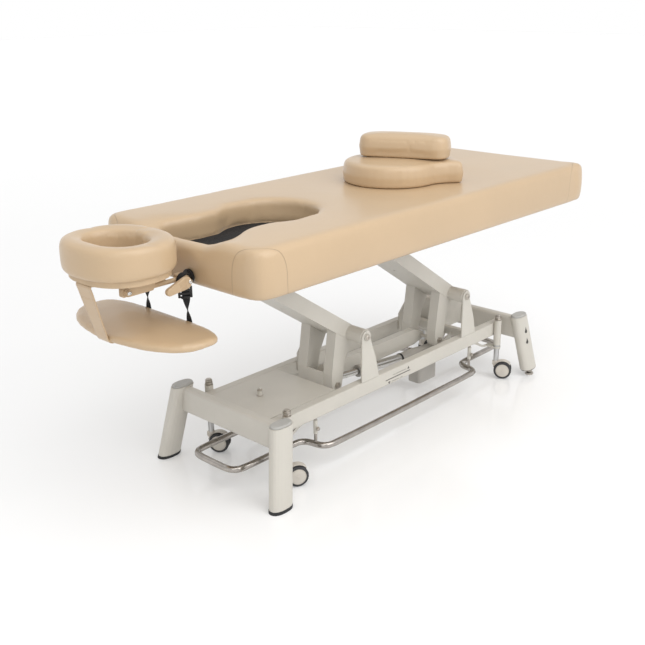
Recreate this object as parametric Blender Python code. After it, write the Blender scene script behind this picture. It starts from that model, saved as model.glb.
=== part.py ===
"""Electric massage table: padded top with a keyhole cut-out, face cradle and
armrest shelf, on a two-arm parallelogram lift with a linear actuator.

Metres, +Z up. X runs along the table with the foot end at +X, Y runs across it.
The origin lies on the floor, under the middle of the table and its face cradle.
Sizes below are written about the middle of the base frame, and one parent empty
carries the whole table to the origin.
"""

from math import acos, asin, atan2, cos, pi, radians, sin, sqrt

import bmesh
import bpy
from mathutils import Matrix, Vector

# Gaps and allowances
FIT = 0.0003            # gap between seated pieces
RUN = 0.0006            # radial running clearance of pins and slides
OVERRUN = 0.004         # how far a cutter passes the faces that it cuts
WELD = 0.0012           # how far a welded shape is let into its neighbour

# Base frame: two rails between a head and a foot crossbar
BASE_LENGTH = 1.460     # over the outer faces of the crossbars
BAR_T = 0.040
BAR_H = 0.093
BAR_Z = 0.175
BAR_ROUND = 0.012
RAIL_CLEAR = 0.296      # clear width between the rails
RAIL_W = 0.035
RAIL_H = 0.056
RAIL_Z = 0.190
RAIL_ROUND = 0.004
TUBE_WALL = 0.0030

# Legs: oval tube, splayed outward
LEG_X = 0.090
LEG_Y = 0.052
LEG_WALL = 0.0030
LEG_TOP_Z = 0.272
LEG_TOP_OVER = -0.0153  # centre of the leg's top beyond the crossbar's outer face
LEG_FOOT_OVER = 0.035   # the same at the floor
LEG_TOP_Y = 0.2490
LEG_FOOT_Y = 0.2890
CAP_INSET = 0.0030
CAP_H = 0.0085
CAP_ROUND = 0.0025
SHOE_H = 0.010
SHOE_LIP = 0.0010
PLUG_T = 0.012
FOOT_LEG_Z = 0.030      # lower end of the foot legs, above the levelling feet
LEVEL_DISC_R = 0.018
LEVEL_DISC_H = 0.007
LEVEL_CONE_H = 0.005
LEVEL_NUT_R = 0.0105
LEVEL_NUT_H = 0.008
LEVEL_STEM_R = 0.0060
LEVEL_STEM_IN = 0.030   # thread above the plug

# Sheet cover between the rails at the head end
TRAY_CLEAR = 0.1333      # free edge, from the head arm's lower pivot
TRAY_T = 0.0025
TRAY_FLANGE = 0.025
POST_SHARE = 0.6092      # post, from the cover's free edge, as a share of its length
POST_Y = 0.018
POST_R = 0.0090
POST_H = 0.018
POST_TIP_R = 0.0055
POST_TIP_H = 0.012

# Lift: two parallel arms of equal length
PIVOT_Z = 0.417
PIVOT_X = -0.212        # head arm's lower pivot
PIVOT_STEP = 0.625      # from the head arm's pivot to the foot arm's
ARM_LENGTH = 0.547
ARM_ANGLE = radians(33.6)
ARM_DEPTH = 0.055
ARM_NEAR = 0.107        # arm tube, from the centre plane to its near side
ARM_FAR = 0.067         # the same to its far side
ARM_WALL = 0.0040
ARM_VENT_R = 0.006
HUB_R = 0.028
HUB_TOP_R = 0.020
SHAFT_R = 0.0080
HEAD_R = 0.0130
HEAD_T = 0.0050

# Horns below each arm, with the pin that joins them
HORN_BACK = 0.073       # pin, toward the head from the pivot
HORN_DROP = 0.185       # pin, below the pivot
HORN_EYE_R = 0.0265
HORN_FRONT = 0.101
HORN_FRONT_DROP = 0.140
HORN_WAIST = 0.030
HORN_WAIST_DROP = 0.100
HORN_ROOT = 0.077       # root's far edge along the arm
HORN_ROOT_BACK = 0.022  # root's near edge, behind the pivot
HORN_T = 0.043
HORN_INSET = 0.0015
HORN_FAR_IN = 0.020     # inner face of the far horn
PIN_R = 0.0070
PLATE_T = 0.006
PLATE_H = 0.048
PLATE_CLEAR = 0.0255    # from the pin to the cross plate

# Bracket plates that carry the arms
BRACKET_T = 0.006
BRACKET_HEAD_R = 0.024
BRACKET_FOOT = 0.096    # width at the rail
BRACKET_NECK_DROP = 0.096
BRACKET_NECK = 0.078    # width at the neck
BRACKET_SHOULDER = 0.022
FAR_LAP = 0.040         # far plates: height of the lap on the rail's inner face
FAR_STRAIGHT = 0.072    # height of their lower straight part
FAR_TOP_DROP = 0.034    # upper straight part, below the pivot

# Link bar between the horns
LINK_NEAR = 0.012
LINK_FAR = 0.018
LINK_UP = 0.036
LINK_DOWN = 0.030
LINK_EYE_R = 0.018
LINK_TAPER = 0.045

# Actuator
ACT_Y = 0.040           # axis, toward the near side
ACT_TAIL_X = 0.400
ACT_TAIL_Z = 0.1630
ROD_R = 0.0130
ROD_REACH = 0.300
EYE_R = 0.0190
EYE_W = 0.032
EYE_BORE_R = 0.0126
EYE_SAG = 0.0028        # the eye's bore hangs this far below the horn pin
COLLAR_AT = 0.190
COLLAR_L = 0.022
COLLAR_R = 0.0235
GUIDE_R = 0.0185
GUIDE_L = 0.245
BORE_DEPTH = 0.250
BELL_L = 0.060
BELL_R = 0.0255
MOTOR_L = 0.130
MOTOR_W = 0.062
MOTOR_DROP = 0.096
MOTOR_ROUND = 0.012
TAIL_R = 0.014
TAIL_W = 0.030
MOUNT_GAP = 0.005       # cross bar behind the actuator, from the foot brackets
MOUNT_BAR_W = 0.028
MOUNT_BAR_H = 0.034
MOUNT_BAR_UP = 0.010    # above the rails' underside
LUG_T = 0.005
TAIL_PIN_R = 0.0065

# Control box
BOX_GAP = 0.006         # from the cross bar
BOX_SHARE = 0.8434       # its length, as a share of the room before the foot crossbar
BOX_W = 0.140
BOX_H = 0.125
BOX_Z = 0.205
BOX_ROUND = 0.010
INLET_W = 0.029
INLET_H = 0.021
INLET_D = 0.018
INLET_UP = 0.040

# Casters: sockets on the rails, carrier plates, forks and twin wheels
CASTER_IN = 0.094        # stems, from the crossbars' outer faces
SOCKET_R = 0.0155
SOCKET_LOW = 0.150
SOCKET_TOP = 0.262
STEM_R = 0.0110
STEM_OUT = 0.018        # stem above the socket
STEM_BLOCK_Z = 0.0760
CARRIER_T = 0.006
CARRIER_H = 0.0147
CARRIER_GAP = 0.0008
CARRIER_BEND = 0.130    # length of each curved end
EAR_T = 0.008
EAR_TOP = 0.144
EAR_R = 0.0165
EAR_L = 0.040
CLIP_R = 0.0148
CLIP_T = 0.0045
WHEEL_R = 0.0375
WHEEL_W = 0.044         # over both tyres
WHEEL_GAP = 0.016       # between the two wheels
WHEEL_ROUND = 0.0045
WHEEL_CLEAR = 0.0015    # wheels hang clear of the floor
AXLE_R = 0.0050
FORK_T = 0.0140
FORK_EYE_R = 0.0120
FORK_NECK = 0.0150
TRAIL = 0.0300
SWIVEL_NEAR_HEAD = radians(-31.0)
SWIVEL_FAR_HEAD = radians(-56.0)
SWIVEL_NEAR_FOOT = radians(-60.5)
SWIVEL_FAR_FOOT = radians(-10.0)

# Foot-control bar: one closed loop of round tube
RING_R = 0.0125
RING_Z = 0.085
RING_SIDE_IN = 0.260     # ends of the wide part, from the crossbars' outer faces
RING_SIDE_Y = 0.215
RING_END_OUT = 0.070     # ends of the loop, beyond the crossbars' outer faces
RING_END_Y = 0.110
RING_BEND = 0.046
RING_PIN_R = 0.0060
RING_PIN_Y = 0.1695
RING_PIN_IN = 0.016     # pin inside the rail

# Tabletop
TOP_LENGTH = 1.850
TOP_WIDTH = 0.760
TOP_SHIFT = 0.0135      # middle of the top, from the middle of the base
TOP_CORNER = 0.085      # plan radius at the head corners
TOP_CORNER_FOOT = 0.055
FRAME_UP = 0.0603       # underside of the frame tubes above the upper pivots
FRAME_H = 0.0415
FRAME_W = 0.030
FRAME_Y = 0.215         # long frame tubes, centre
FRAME_HEAD_IN = 0.110   # their ends, from the ends of the top
FRAME_FOOT_IN = 0.110
LUG_NEAR_Y = 0.110
LUG_FAR_Y = 0.070
LUG_PLATE_T = 0.008
LUG_W = 0.044
LUG_BELOW = 0.020
CROSS_W = 0.040
DECK_T = 0.018
FOAM_T = 0.0660         # cushion over the deck
SKIRT_DOWN = 0.0843     # skirt below the deck's top
SKIRT_T = 0.028
EDGE_ROUND = 0.026
SKIRT_ROUND = 0.012
SIDE_BULGE = 0.006
FLOOR_T = 0.002
DECK_GAP = 0.0010       # between the deck and the skirt
FLOOR_GAP = 0.0012      # between the black floor and the foam

# Keyhole cut-out
HOLE_AT = 0.4065        # its centre, from the head end
HOLE_R = 0.166
HOLE_RIM = 0.014        # the rim's roll
HOLE_WAIST = 0.125
HOLE_WAIST_AT = 0.185
HOLE_FLARE = 0.160
HOLE_END_IN = 0.054     # width of the padded bar at the head end
HOLE_END_ROUND = 0.045
BAR_DIP = 0.027         # the padded bar lies lower than the top
DIP_FULL_Y = 0.090      # the bar's dip is full up to here from the centre plane
DIP_NONE_Y = 0.240      # and gone from here on
DIP_FULL_X = 0.0615     # full up to here from the head end
DIP_NONE_X = 0.1915     # and gone from here on
LINING_GAP = 0.0020     # deck's cut-out, outside the foam's

# Face cradle
CRADLE_Y = 0.076
CRADLE_UP = 0.004        # rods, above the frame tubes' underside
ROD_SHARE = 0.67         # rod in its socket, as a share of the way to the cross member
CRADLE_ROD_R = 0.0072
SOCKET_BODY_R = 0.0125
SOCKET_FLANGE_R = 0.0225
SOCKET_FLANGE_T = 0.008
BOLT_OUT = 0.2345       # front bolt, from the head face
BOLT_UP = 0.005          # above the rods
BOLT_R = 0.0050
CRADLE_BLOCK_L = 0.030
CRADLE_BLOCK_W = 0.017
CRADLE_BLOCK_H = 0.026
CHEEK_T = 0.006
CHEEK_L = 0.111
CHEEK_R = 0.012
TIE_OUT = 0.090         # tie bar between the rods, from the head face
TIE_W = 0.020
TIE_H = 0.010
CLAMP_OUT = 0.030
CLAMP_L = 0.024
CLAMP_W = 0.028
CLAMP_H = 0.030
LEVER_T = 0.012
LEVER_EYE_R = 0.0105
LEVER_REACH = 0.078
LEVER_FALL = 0.026
LEVER_TIP_R = 0.0060
BOARD_UP = 0.036         # above the rods
BOARD_T = 0.017
BOARD_INSET = 0.022

FACE_OUT = 0.1935       # middle of the face cushion, from the head face
FACE_X = 0.155
FACE_Y = 0.175
FACE_HOLE_X = 0.088
FACE_HOLE_Y = 0.108
FACE_HOLE_SHIFT = 0.013
FACE_H = 0.0970
FACE_SLIT = 0.0070      # gap of the horseshoe toward the table
FACE_SEAM = 0.0030

# Armrest shelf and its straps
SHELF_GAP = 0.0260      # rear edge, from the head face
SHELF_REAR = 0.105
SHELF_FRONT = 0.140
SHELF_HALF = 0.282
SHELF_T = 0.027
SHELF_BELOW = 0.129      # its upper seam, below the rods
SHELF_CROWN = 0.006
STRAP_W = 0.025
STRAP_T = 0.0022
BUCKLE_W = 0.045
BUCKLE_T = 0.007
BUCKLE_H = 0.036
HANGER_W = 0.080
HANGER_T = 0.004
HANGER_BUMP = 0.019
HANGER_BELOW = 0.014

# Loose cushions
INSERT_X = 0.155
INSERT_Y = 0.010
INSERT_R = 0.186
INSERT_NECK = 0.256
INSERT_NECK_W = 0.122
INSERT_WAIST = 0.119
INSERT_WAIST_AT = 0.190
INSERT_ROUND = 0.027
INSERT_T = 0.087
INSERT_TURN = radians(-37.0)
BLOCK_X = 0.208
BLOCK_Y = -0.012
BLOCK_L = 0.352
BLOCK_W = 0.128
BLOCK_T = 0.087
BLOCK_ROUND = 0.050
BLOCK_TURN = radians(-66.9)
PAD_EDGE = 0.018
PAD_BULGE = 0.004
PAD_CROWN = 0.007

# Worked-out places
RAIL_IN = RAIL_CLEAR / 2
RAIL_OUT = RAIL_IN + RAIL_W
RAIL_TOP = RAIL_Z + RAIL_H
RAIL_MID = (RAIL_IN + RAIL_OUT) / 2
RAIL_END = BASE_LENGTH / 2 - BAR_T - FIT
BAR_MID = BASE_LENGTH / 2 - BAR_T / 2
ARM_U = Vector((-cos(ARM_ANGLE), 0, sin(ARM_ANGLE)))
ARM_V = Vector((sin(ARM_ANGLE), 0, cos(ARM_ANGLE)))
HEAD_PIVOT = Vector((PIVOT_X, 0, PIVOT_Z))
FOOT_PIVOT = HEAD_PIVOT + Vector((PIVOT_STEP, 0, 0))
HEAD_TOP = HEAD_PIVOT + ARM_U * ARM_LENGTH
FOOT_TOP = FOOT_PIVOT + ARM_U * ARM_LENGTH
HORN_PIN = HEAD_PIVOT + Vector((-HORN_BACK, 0, -HORN_DROP))
FRAME_Z = HEAD_TOP.z + FRAME_UP
DECK_Z = FRAME_Z + FRAME_H + FIT
DECK_TOP = DECK_Z + DECK_T
FOAM_Z = DECK_TOP + FIT
TOP_Z = DECK_TOP + FOAM_T
SKIRT_Z = DECK_TOP - SKIRT_DOWN
TOP_HEAD = TOP_SHIFT - TOP_LENGTH / 2
TOP_FOOT = TOP_SHIFT + TOP_LENGTH / 2
FACE_MID = TOP_HEAD - FACE_OUT
MOUNT_BAR_X = FOOT_PIVOT.x - BRACKET_HEAD_R + BRACKET_FOOT + MOUNT_GAP
BOX_X = MOUNT_BAR_X + MOUNT_BAR_W + BOX_GAP
BOX_L = (BASE_LENGTH / 2 - BAR_T - BOX_X) * BOX_SHARE
TRAY_LENGTH = BASE_LENGTH / 2 - BAR_T + PIVOT_X - TRAY_CLEAR
POST_BACK = TRAY_LENGTH * POST_SHARE
CASTER_X = BASE_LENGTH / 2 - CASTER_IN
RING_SIDE_X = BASE_LENGTH / 2 - RING_SIDE_IN
RING_END_X = BASE_LENGTH / 2 + RING_END_OUT
CRADLE_Z = FRAME_Z + CRADLE_UP
ROD_IN = (HEAD_TOP.x - CROSS_W / 2 - TOP_HEAD) * ROD_SHARE
BOLT_Z = CRADLE_Z + BOLT_UP
BOARD_Z = CRADLE_Z + BOARD_UP
SHELF_Z = CRADLE_Z - SHELF_BELOW
STEM_Y = RAIL_OUT + SOCKET_R - WELD
EAR_Z = EAR_TOP - EAR_T
TABLE_SHIFT = -(TOP_FOOT + FACE_MID - FACE_X) / 2


# Scene and looks

def clear_scene():
    for item in list(bpy.data.objects):
        bpy.data.objects.remove(item, do_unlink=True)


def look(name, colour, roughness, metallic):
    found = bpy.data.materials.get(name)
    if found:
        return found
    made = bpy.data.materials.new(name)
    made.use_nodes = True
    shader = made.node_tree.nodes["Principled BSDF"]
    shader.inputs["Base Color"].default_value = (*colour, 1)
    shader.inputs["Roughness"].default_value = roughness
    shader.inputs["Metallic"].default_value = metallic
    made.diffuse_color = (*colour, 1)
    return made


LOOKS = {
    "cream_paint": ((0.69, 0.64, 0.57), 0.42, 0.0),
    "beige_vinyl": ((0.78, 0.60, 0.41), 0.50, 0.0),
    "beige_plastic": ((0.72, 0.56, 0.39), 0.45, 0.0),
    "grey_plastic": ((0.33, 0.34, 0.36), 0.50, 0.0),
    "black_plastic": ((0.015, 0.015, 0.016), 0.45, 0.0),
    "black_fabric": ((0.010, 0.010, 0.012), 0.85, 0.0),
    "steel": ((0.55, 0.54, 0.52), 0.25, 1.0),
    "grey_motor": ((0.42, 0.43, 0.45), 0.50, 0.0),
    "dark_rubber": ((0.030, 0.032, 0.034), 0.70, 0.0),
    "board": ((0.52, 0.38, 0.24), 0.60, 0.0),
    "pale_box": ((0.66, 0.63, 0.58), 0.50, 0.0),
}

POINTS = {}


def body(name, at, parent=None):
    """An empty on the axis of one moving body, at a place in the base frame."""
    empty = bpy.data.objects.new(name, None)
    bpy.context.collection.objects.link(empty)
    POINTS[name] = Vector(at)
    if parent:
        empty.parent = bpy.data.objects[parent]
        empty.location = Vector(at) - POINTS[parent]
    else:
        empty.location = Vector((TABLE_SHIFT, 0, 0)) + Vector(at)
    return empty


def piece(name, item, owner, style, angle=radians(34)):
    """Names a finished shape and hangs it on its body's empty."""
    item.name = name
    item.data.name = name
    item.data.materials.clear()
    item.data.materials.append(look(style, *LOOKS[style]))
    item.data.transform(Matrix.Translation(-POINTS[owner]))
    item.parent = bpy.data.objects[owner]
    item.data.shade_smooth()
    item.data.set_sharp_from_angle(angle=angle)
    return item


# Shape tools

def solid(mesh_data):
    bmesh.ops.recalc_face_normals(mesh_data, faces=mesh_data.faces)
    mesh = bpy.data.meshes.new("shape")
    mesh_data.to_mesh(mesh)
    mesh_data.free()
    item = bpy.data.objects.new("shape", mesh)
    bpy.context.collection.objects.link(item)
    return item


def loft(loops, ring=False):
    """Skins a run of loops with equal counts; a ring run closes on itself."""
    made = bmesh.new()
    rows = [[made.verts.new(point) for point in loop] for loop in loops]
    count = len(rows[0])
    following = rows[1:] + rows[:1] if ring else rows[1:]
    for row, after in zip(rows, following):
        for index in range(count):
            step = (index + 1) % count
            made.faces.new((row[index], row[step], after[step], after[index]))
    if not ring:
        made.faces.new(list(reversed(rows[0])))
        made.faces.new(rows[-1])
    return solid(made)


def along(axis, flat, level):
    """A point of a flat outline, raised along one axis."""
    if axis == "x":
        return Vector((level, flat[0], flat[1]))
    if axis == "y":
        return Vector((flat[0], level, flat[1]))
    return Vector((flat[0], flat[1], level))


def prism(outline, axis, low, high):
    return loft([[along(axis, flat, low) for flat in outline], [along(axis, flat, high) for flat in outline]])


def arc(centre, radius, start, end, count):
    return [
        (centre[0] + radius * cos(start + (end - start) * step / count),
         centre[1] + radius * sin(start + (end - start) * step / count))
        for step in range(count + 1)
    ]


def rounded_box(low_a, high_a, low_b, high_b, radius, count=3):
    quarter = pi / 2
    corners = (
        ((high_a - radius, high_b - radius), 0),
        ((low_a + radius, high_b - radius), quarter),
        ((low_a + radius, low_b + radius), 2 * quarter),
        ((high_a - radius, low_b + radius), 3 * quarter),
    )
    return [spot for centre, start in corners for spot in arc(centre, radius, start, start + quarter, count)]


def circle(centre, radius, count):
    return arc(centre, radius, 0, 2 * pi, count)[:-1]


def oval(half_a, half_b, count, fullness=2.4):
    """A superellipse about zero."""
    spots = []
    for step in range(count):
        turn = 2 * pi * step / count
        a = abs(cos(turn)) ** (2 / fullness) * (1 if cos(turn) >= 0 else -1)
        b = abs(sin(turn)) ** (2 / fullness) * (1 if sin(turn) >= 0 else -1)
        spots.append((half_a * a, half_b * b))
    return spots


def turned(profile, origin, axis, count=20):
    """A turned solid from (distance along the axis, radius) pairs, both ends flat."""
    way = Vector(axis).normalized()
    side = way.orthogonal().normalized()
    other = way.cross(side)
    loops = []
    for distance, radius in profile:
        middle = Vector(origin) + way * distance
        loops.append([
            middle + side * (radius * cos(2 * pi * step / count)) + other * (radius * sin(2 * pi * step / count))
            for step in range(count)
        ])
    return loft(loops)


def tube(loop_low, loop_high, bore_low, bore_high):
    """An open tube: outer loops and bore loops, joined at both ends."""
    return loft([loop_low, loop_high, bore_high, bore_low], ring=True)


def combine(base, tool, operation):
    change = base.modifiers.new(operation.lower(), "BOOLEAN")
    change.operation = operation
    change.object = tool
    change.solver = "EXACT"
    bpy.context.view_layer.update()
    view = bpy.context.evaluated_depsgraph_get()
    mesh = bpy.data.meshes.new_from_object(base.evaluated_get(view))
    base.modifiers.clear()
    before = base.data
    base.data = mesh
    bpy.data.meshes.remove(before)
    used = tool.data
    bpy.data.objects.remove(tool, do_unlink=True)
    bpy.data.meshes.remove(used)
    return base


def add(base, *tools):
    for tool in tools:
        combine(base, tool, "UNION")
    return base


def cut(base, *tools):
    for tool in tools:
        combine(base, tool, "DIFFERENCE")
    return base


def drill(base, centre, axis, radius, low, high, count=16):
    """A round hole along one axis, from one level to another."""
    return cut(base, prism(circle(centre, radius, count), axis, low, high))


def polar(outline, turn):
    """Distance from zero to an outline in one direction; the outline is star shaped."""
    way = Vector((cos(turn), sin(turn)))
    best = 0
    for index, spot in enumerate(outline):
        after = outline[(index + 1) % len(outline)]
        first = Vector(spot)
        run = Vector(after) - first
        cross = way.x * run.y - way.y * run.x
        if cross == 0:
            continue
        reach = (first.x * run.y - first.y * run.x) / cross
        share = (first.x * way.y - first.y * way.x) / cross
        if reach > 0 and 0 <= share <= 1:
            best = max(best, reach)
    return best


def drawn_in(outline, inset):
    """An outline moved inward by a distance, point by point."""
    count = len(outline)
    spots = []
    for index in range(count):
        before = Vector(outline[index - 1])
        here = Vector(outline[index])
        after = Vector(outline[(index + 1) % count])
        first = (here - before).normalized()
        second = (after - here).normalized()
        inward = (Vector((-first.y, first.x)) + Vector((-second.y, second.x))).normalized()
        lean = max(inward.dot(Vector((-first.y, first.x))), 0.5)
        spots.append(tuple(here + inward * (inset / lean)))
    return spots


def round_shares(count):
    """Quarter-circle steps: share drawn in and share climbed, from the side to the top."""
    return [(1 - cos(pi / 2 * step / count), sin(pi / 2 * step / count)) for step in range(count + 1)]


def pad(outline, low, high, edge, bulge, crown, rings=3, under=0.5):
    """A stuffed pad: rolled edges, full sides and a crowned top."""
    loops = []
    steps = round_shares(rings)
    low_edge = edge * under
    side_low = low + low_edge
    side_high = high - crown - edge
    for draw, climb in reversed(steps):
        loops.append([(*spot, side_low - low_edge * climb) for spot in drawn_in(outline, bulge + low_edge * draw)])
    middle = (side_low + side_high) / 2
    loops.append([(*spot, middle) for spot in outline])
    for draw, climb in steps:
        loops.append([(*spot, side_high + edge * climb) for spot in drawn_in(outline, bulge + edge * draw)])
    rim = drawn_in(outline, bulge + edge)
    centre = (sum(spot[0] for spot in rim) / len(rim), sum(spot[1] for spot in rim) / len(rim))
    for scale_share, crown_share in ((0.72, 0.62), (0.36, 1.0)):
        loops.append([
            (centre[0] + (spot[0] - centre[0]) * scale_share, centre[1] + (spot[1] - centre[1]) * scale_share,
             high - crown * (1 - crown_share))
            for spot in rim
        ])
    return loft(loops)


def bent_path(corners, bend, count, closed=True):
    """Corner points joined by arcs of one bend radius."""
    path = []
    total = len(corners)
    for index, corner in enumerate(corners):
        if not closed and index in (0, total - 1):
            path.append(Vector(corner))
            continue
        here = Vector(corner)
        back = (Vector(corners[index - 1]) - here).normalized()
        ahead = (Vector(corners[(index + 1) % total]) - here).normalized()
        half = acos(max(-1, min(1, back.dot(ahead)))) / 2
        setback = bend * cos(half) / sin(half)
        centre = here + (back + ahead).normalized() * (bend / sin(half))
        start = here + back * setback - centre
        end = here + ahead * setback - centre
        sweep = pi - 2 * half
        for step in range(count + 1):
            part = step / count
            path.append(centre + (start * sin(sweep * (1 - part)) + end * sin(sweep * part)) / sin(sweep))
    return path


def pipe(path, radius, count, closed=True):
    """A round tube along a level path."""
    loops = []
    total = len(path)
    rise = Vector((0, 0, 1))
    for index, spot in enumerate(path):
        if closed or 0 < index < total - 1:
            way = (path[(index + 1) % total] - path[index - 1]).normalized()
        elif index == 0:
            way = (path[1] - path[0]).normalized()
        else:
            way = (path[-1] - path[-2]).normalized()
        side = rise.cross(way).normalized()
        loops.append([
            spot + side * (radius * cos(2 * pi * step / count)) + rise * (radius * sin(2 * pi * step / count))
            for step in range(count)
        ])
    return loft(loops, ring=closed)


# Base frame

def leg_centre(end, side, level):
    """Middle of a leg at one height; end and side are +1 or -1."""
    share = level / LEG_TOP_Z
    over = LEG_FOOT_OVER + (LEG_TOP_OVER - LEG_FOOT_OVER) * share
    across = LEG_FOOT_Y + (LEG_TOP_Y - LEG_FOOT_Y) * share
    return end * (BASE_LENGTH / 2 + over), side * across


def leg_loop(end, side, level, inset, count=20):
    centre = leg_centre(end, side, level)
    spots = oval(LEG_X / 2 - inset, LEG_Y / 2 - inset, count)
    return [(centre[0] + spot[0], centre[1] + spot[1], level) for spot in spots]


def leg(end, side):
    if end < 0:
        low = SHOE_H + FIT
        return tube(
            leg_loop(end, side, low, 0), leg_loop(end, side, LEG_TOP_Z, 0),
            leg_loop(end, side, low, LEG_WALL), leg_loop(end, side, LEG_TOP_Z, LEG_WALL),
        )
    low = FOOT_LEG_Z
    plug = low + PLUG_T
    centre = leg_centre(end, side, 0)
    bore = LEVEL_STEM_R + RUN
    count = 20
    hole = circle(centre, bore, count)
    return loft([
        [(*spot, low) for spot in hole],
        leg_loop(end, side, low, 0, count),
        leg_loop(end, side, LEG_TOP_Z, 0, count),
        leg_loop(end, side, LEG_TOP_Z, LEG_WALL, count),
        leg_loop(end, side, plug, LEG_WALL, count),
        [(*spot, plug) for spot in hole],
    ], ring=True)


def leg_cap(end, side):
    low = LEG_TOP_Z + FIT
    high = low + CAP_H
    centre = leg_centre(end, side, LEG_TOP_Z)
    loops = []
    for inset, level in ((CAP_INSET, low), (CAP_INSET, high - CAP_ROUND), (CAP_INSET + CAP_ROUND, high)):
        spots = oval(LEG_X / 2 - inset, LEG_Y / 2 - inset, 24)
        loops.append([(centre[0] + spot[0], centre[1] + spot[1], level) for spot in spots])
    return loft(loops)


def shoe(side):
    return loft([leg_loop(-1, side, 0, -SHOE_LIP), leg_loop(-1, side, SHOE_H, -SHOE_LIP)])


def levelling_foot(side):
    centre = leg_centre(1, side, 0)
    nut = LEVEL_DISC_H + LEVEL_CONE_H
    top = FOOT_LEG_Z + PLUG_T + LEVEL_STEM_IN
    return turned([
        (0, LEVEL_DISC_R), (LEVEL_DISC_H, LEVEL_DISC_R), (nut, LEVEL_NUT_R), (nut + LEVEL_NUT_H, LEVEL_NUT_R),
        (nut + LEVEL_NUT_H, LEVEL_STEM_R), (top, LEVEL_STEM_R),
    ], (*centre, 0), (0, 0, 1), 18)


def crossbar(end):
    outer = end * BASE_LENGTH / 2
    inner = outer - end * BAR_T
    low_x, high_x = min(outer, inner), max(outer, inner)
    section = rounded_box(low_x, high_x, BAR_Z, BAR_Z + BAR_H, BAR_ROUND, 4)
    bore = rounded_box(
        low_x + TUBE_WALL, high_x - TUBE_WALL, BAR_Z + TUBE_WALL, BAR_Z + BAR_H - TUBE_WALL, BAR_ROUND - TUBE_WALL, 4
    )
    reach = leg_centre(end, 1, BAR_Z + BAR_H / 2)[1]

    def loop(spots, level):
        return [along("y", spot, level) for spot in spots]

    bar = tube(loop(section, -reach), loop(section, reach), loop(bore, -reach), loop(bore, reach))
    for side in (-1, 1):
        low, high = BAR_Z - OVERRUN, LEG_TOP_Z + OVERRUN
        cut(bar, loft([leg_loop(end, side, low, -FIT), leg_loop(end, side, high, -FIT)]))
    return bar


def rail(side):
    inner, outer = side * RAIL_IN, side * RAIL_OUT
    low_y, high_y = min(inner, outer), max(inner, outer)
    section = rounded_box(low_y, high_y, RAIL_Z, RAIL_TOP, RAIL_ROUND, 2)
    bore = rounded_box(
        low_y + TUBE_WALL, high_y - TUBE_WALL, RAIL_Z + TUBE_WALL, RAIL_TOP - TUBE_WALL, RAIL_ROUND - TUBE_WALL, 2
    )

    def loop(spots, level):
        return [along("x", spot, level) for spot in spots]

    bar = tube(loop(section, -RAIL_END), loop(section, RAIL_END), loop(bore, -RAIL_END), loop(bore, RAIL_END))
    for end in (-1, 1):
        centre = (end * CASTER_X, side * STEM_Y)
        add(bar, prism(circle(centre, SOCKET_R, 16), "z", SOCKET_LOW, SOCKET_TOP))
        drill(bar, centre, "z", STEM_R + RUN, SOCKET_LOW - OVERRUN, SOCKET_TOP + OVERRUN, 16)
        pin = (end * RING_SIDE_X, side * RING_PIN_Y)
        drill(bar, pin, "z", RING_PIN_R + RUN, RAIL_Z - OVERRUN, RAIL_Z + TUBE_WALL + OVERRUN, 10)
    return bar


def tray():
    start = -RAIL_END
    edge = start + TRAY_LENGTH
    half = RAIL_IN - FIT
    sheet = prism([
        (start, RAIL_TOP - TRAY_T), (edge - TRAY_T, RAIL_TOP - TRAY_T), (edge - TRAY_T, RAIL_TOP - TRAY_FLANGE),
        (edge, RAIL_TOP - TRAY_FLANGE), (edge, RAIL_TOP), (start, RAIL_TOP),
    ], "y", -half, half)
    post = turned([
        (-TRAY_T / 2, POST_R), (POST_H, POST_R), (POST_H, POST_TIP_R), (POST_H + POST_TIP_H, POST_TIP_R),
    ], (edge - POST_BACK, POST_Y, RAIL_TOP), (0, 0, 1), 12)
    return add(sheet, post)


def near_bracket(pivot):
    """Tapered plate that stands on the near rail."""
    front = pivot.x - BRACKET_HEAD_R
    low = RAIL_TOP + FIT
    outline = [(front, low), (front + BRACKET_FOOT, low), (front + BRACKET_NECK, pivot.z - BRACKET_NECK_DROP)]
    outline += arc((pivot.x, pivot.z), BRACKET_HEAD_R, radians(-24), pi, 12)
    plate = prism(outline, "y", -RAIL_OUT, -RAIL_OUT + BRACKET_T)
    return drill(plate, (pivot.x, pivot.z), "y", SHAFT_R + RUN, -RAIL_OUT - OVERRUN, -RAIL_OUT + BRACKET_T + OVERRUN)


def far_bracket(pivot):
    """Plate on the far rail's inner face that leans in to the hub, as bent sheet."""
    outer = RAIL_IN - FIT
    inner = ARM_FAR + FAR_HUB + RUN + BRACKET_T
    low = RAIL_TOP - FAR_LAP
    bend_low = low + FAR_STRAIGHT
    bend_high = pivot.z - FAR_TOP_DROP
    front = pivot.x - BRACKET_HEAD_R

    def place(level):
        if level <= bend_low:
            return outer
        if level >= bend_high:
            return inner
        return outer + (inner - outer) * (level - bend_low) / (bend_high - bend_low)

    def span(level):
        if level > pivot.z:
            reach = sqrt(max(BRACKET_HEAD_R ** 2 - (level - pivot.z) ** 2, 0))
            return pivot.x - reach, pivot.x + reach
        share = (pivot.z - level) / (pivot.z - low)
        return front, pivot.x + BRACKET_HEAD_R + (BRACKET_FOOT - 2 * BRACKET_HEAD_R) * share

    levels = [low, bend_low, bend_high, pivot.z]
    levels += [pivot.z + BRACKET_HEAD_R * sin(radians(turn)) for turn in (20, 40, 58, 74, 84)]
    loops = []
    for level in levels:
        back = place(level)
        left, right = span(level)
        loops.append([
            (left, back - BRACKET_T, level), (right, back - BRACKET_T, level), (right, back, level), (left, back, level)
        ])
    plate = loft(loops)
    return drill(
        plate, (pivot.x, pivot.z), "y", SHAFT_R + RUN, inner - BRACKET_T - OVERRUN, inner + OVERRUN
    )


# Lift

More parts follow.
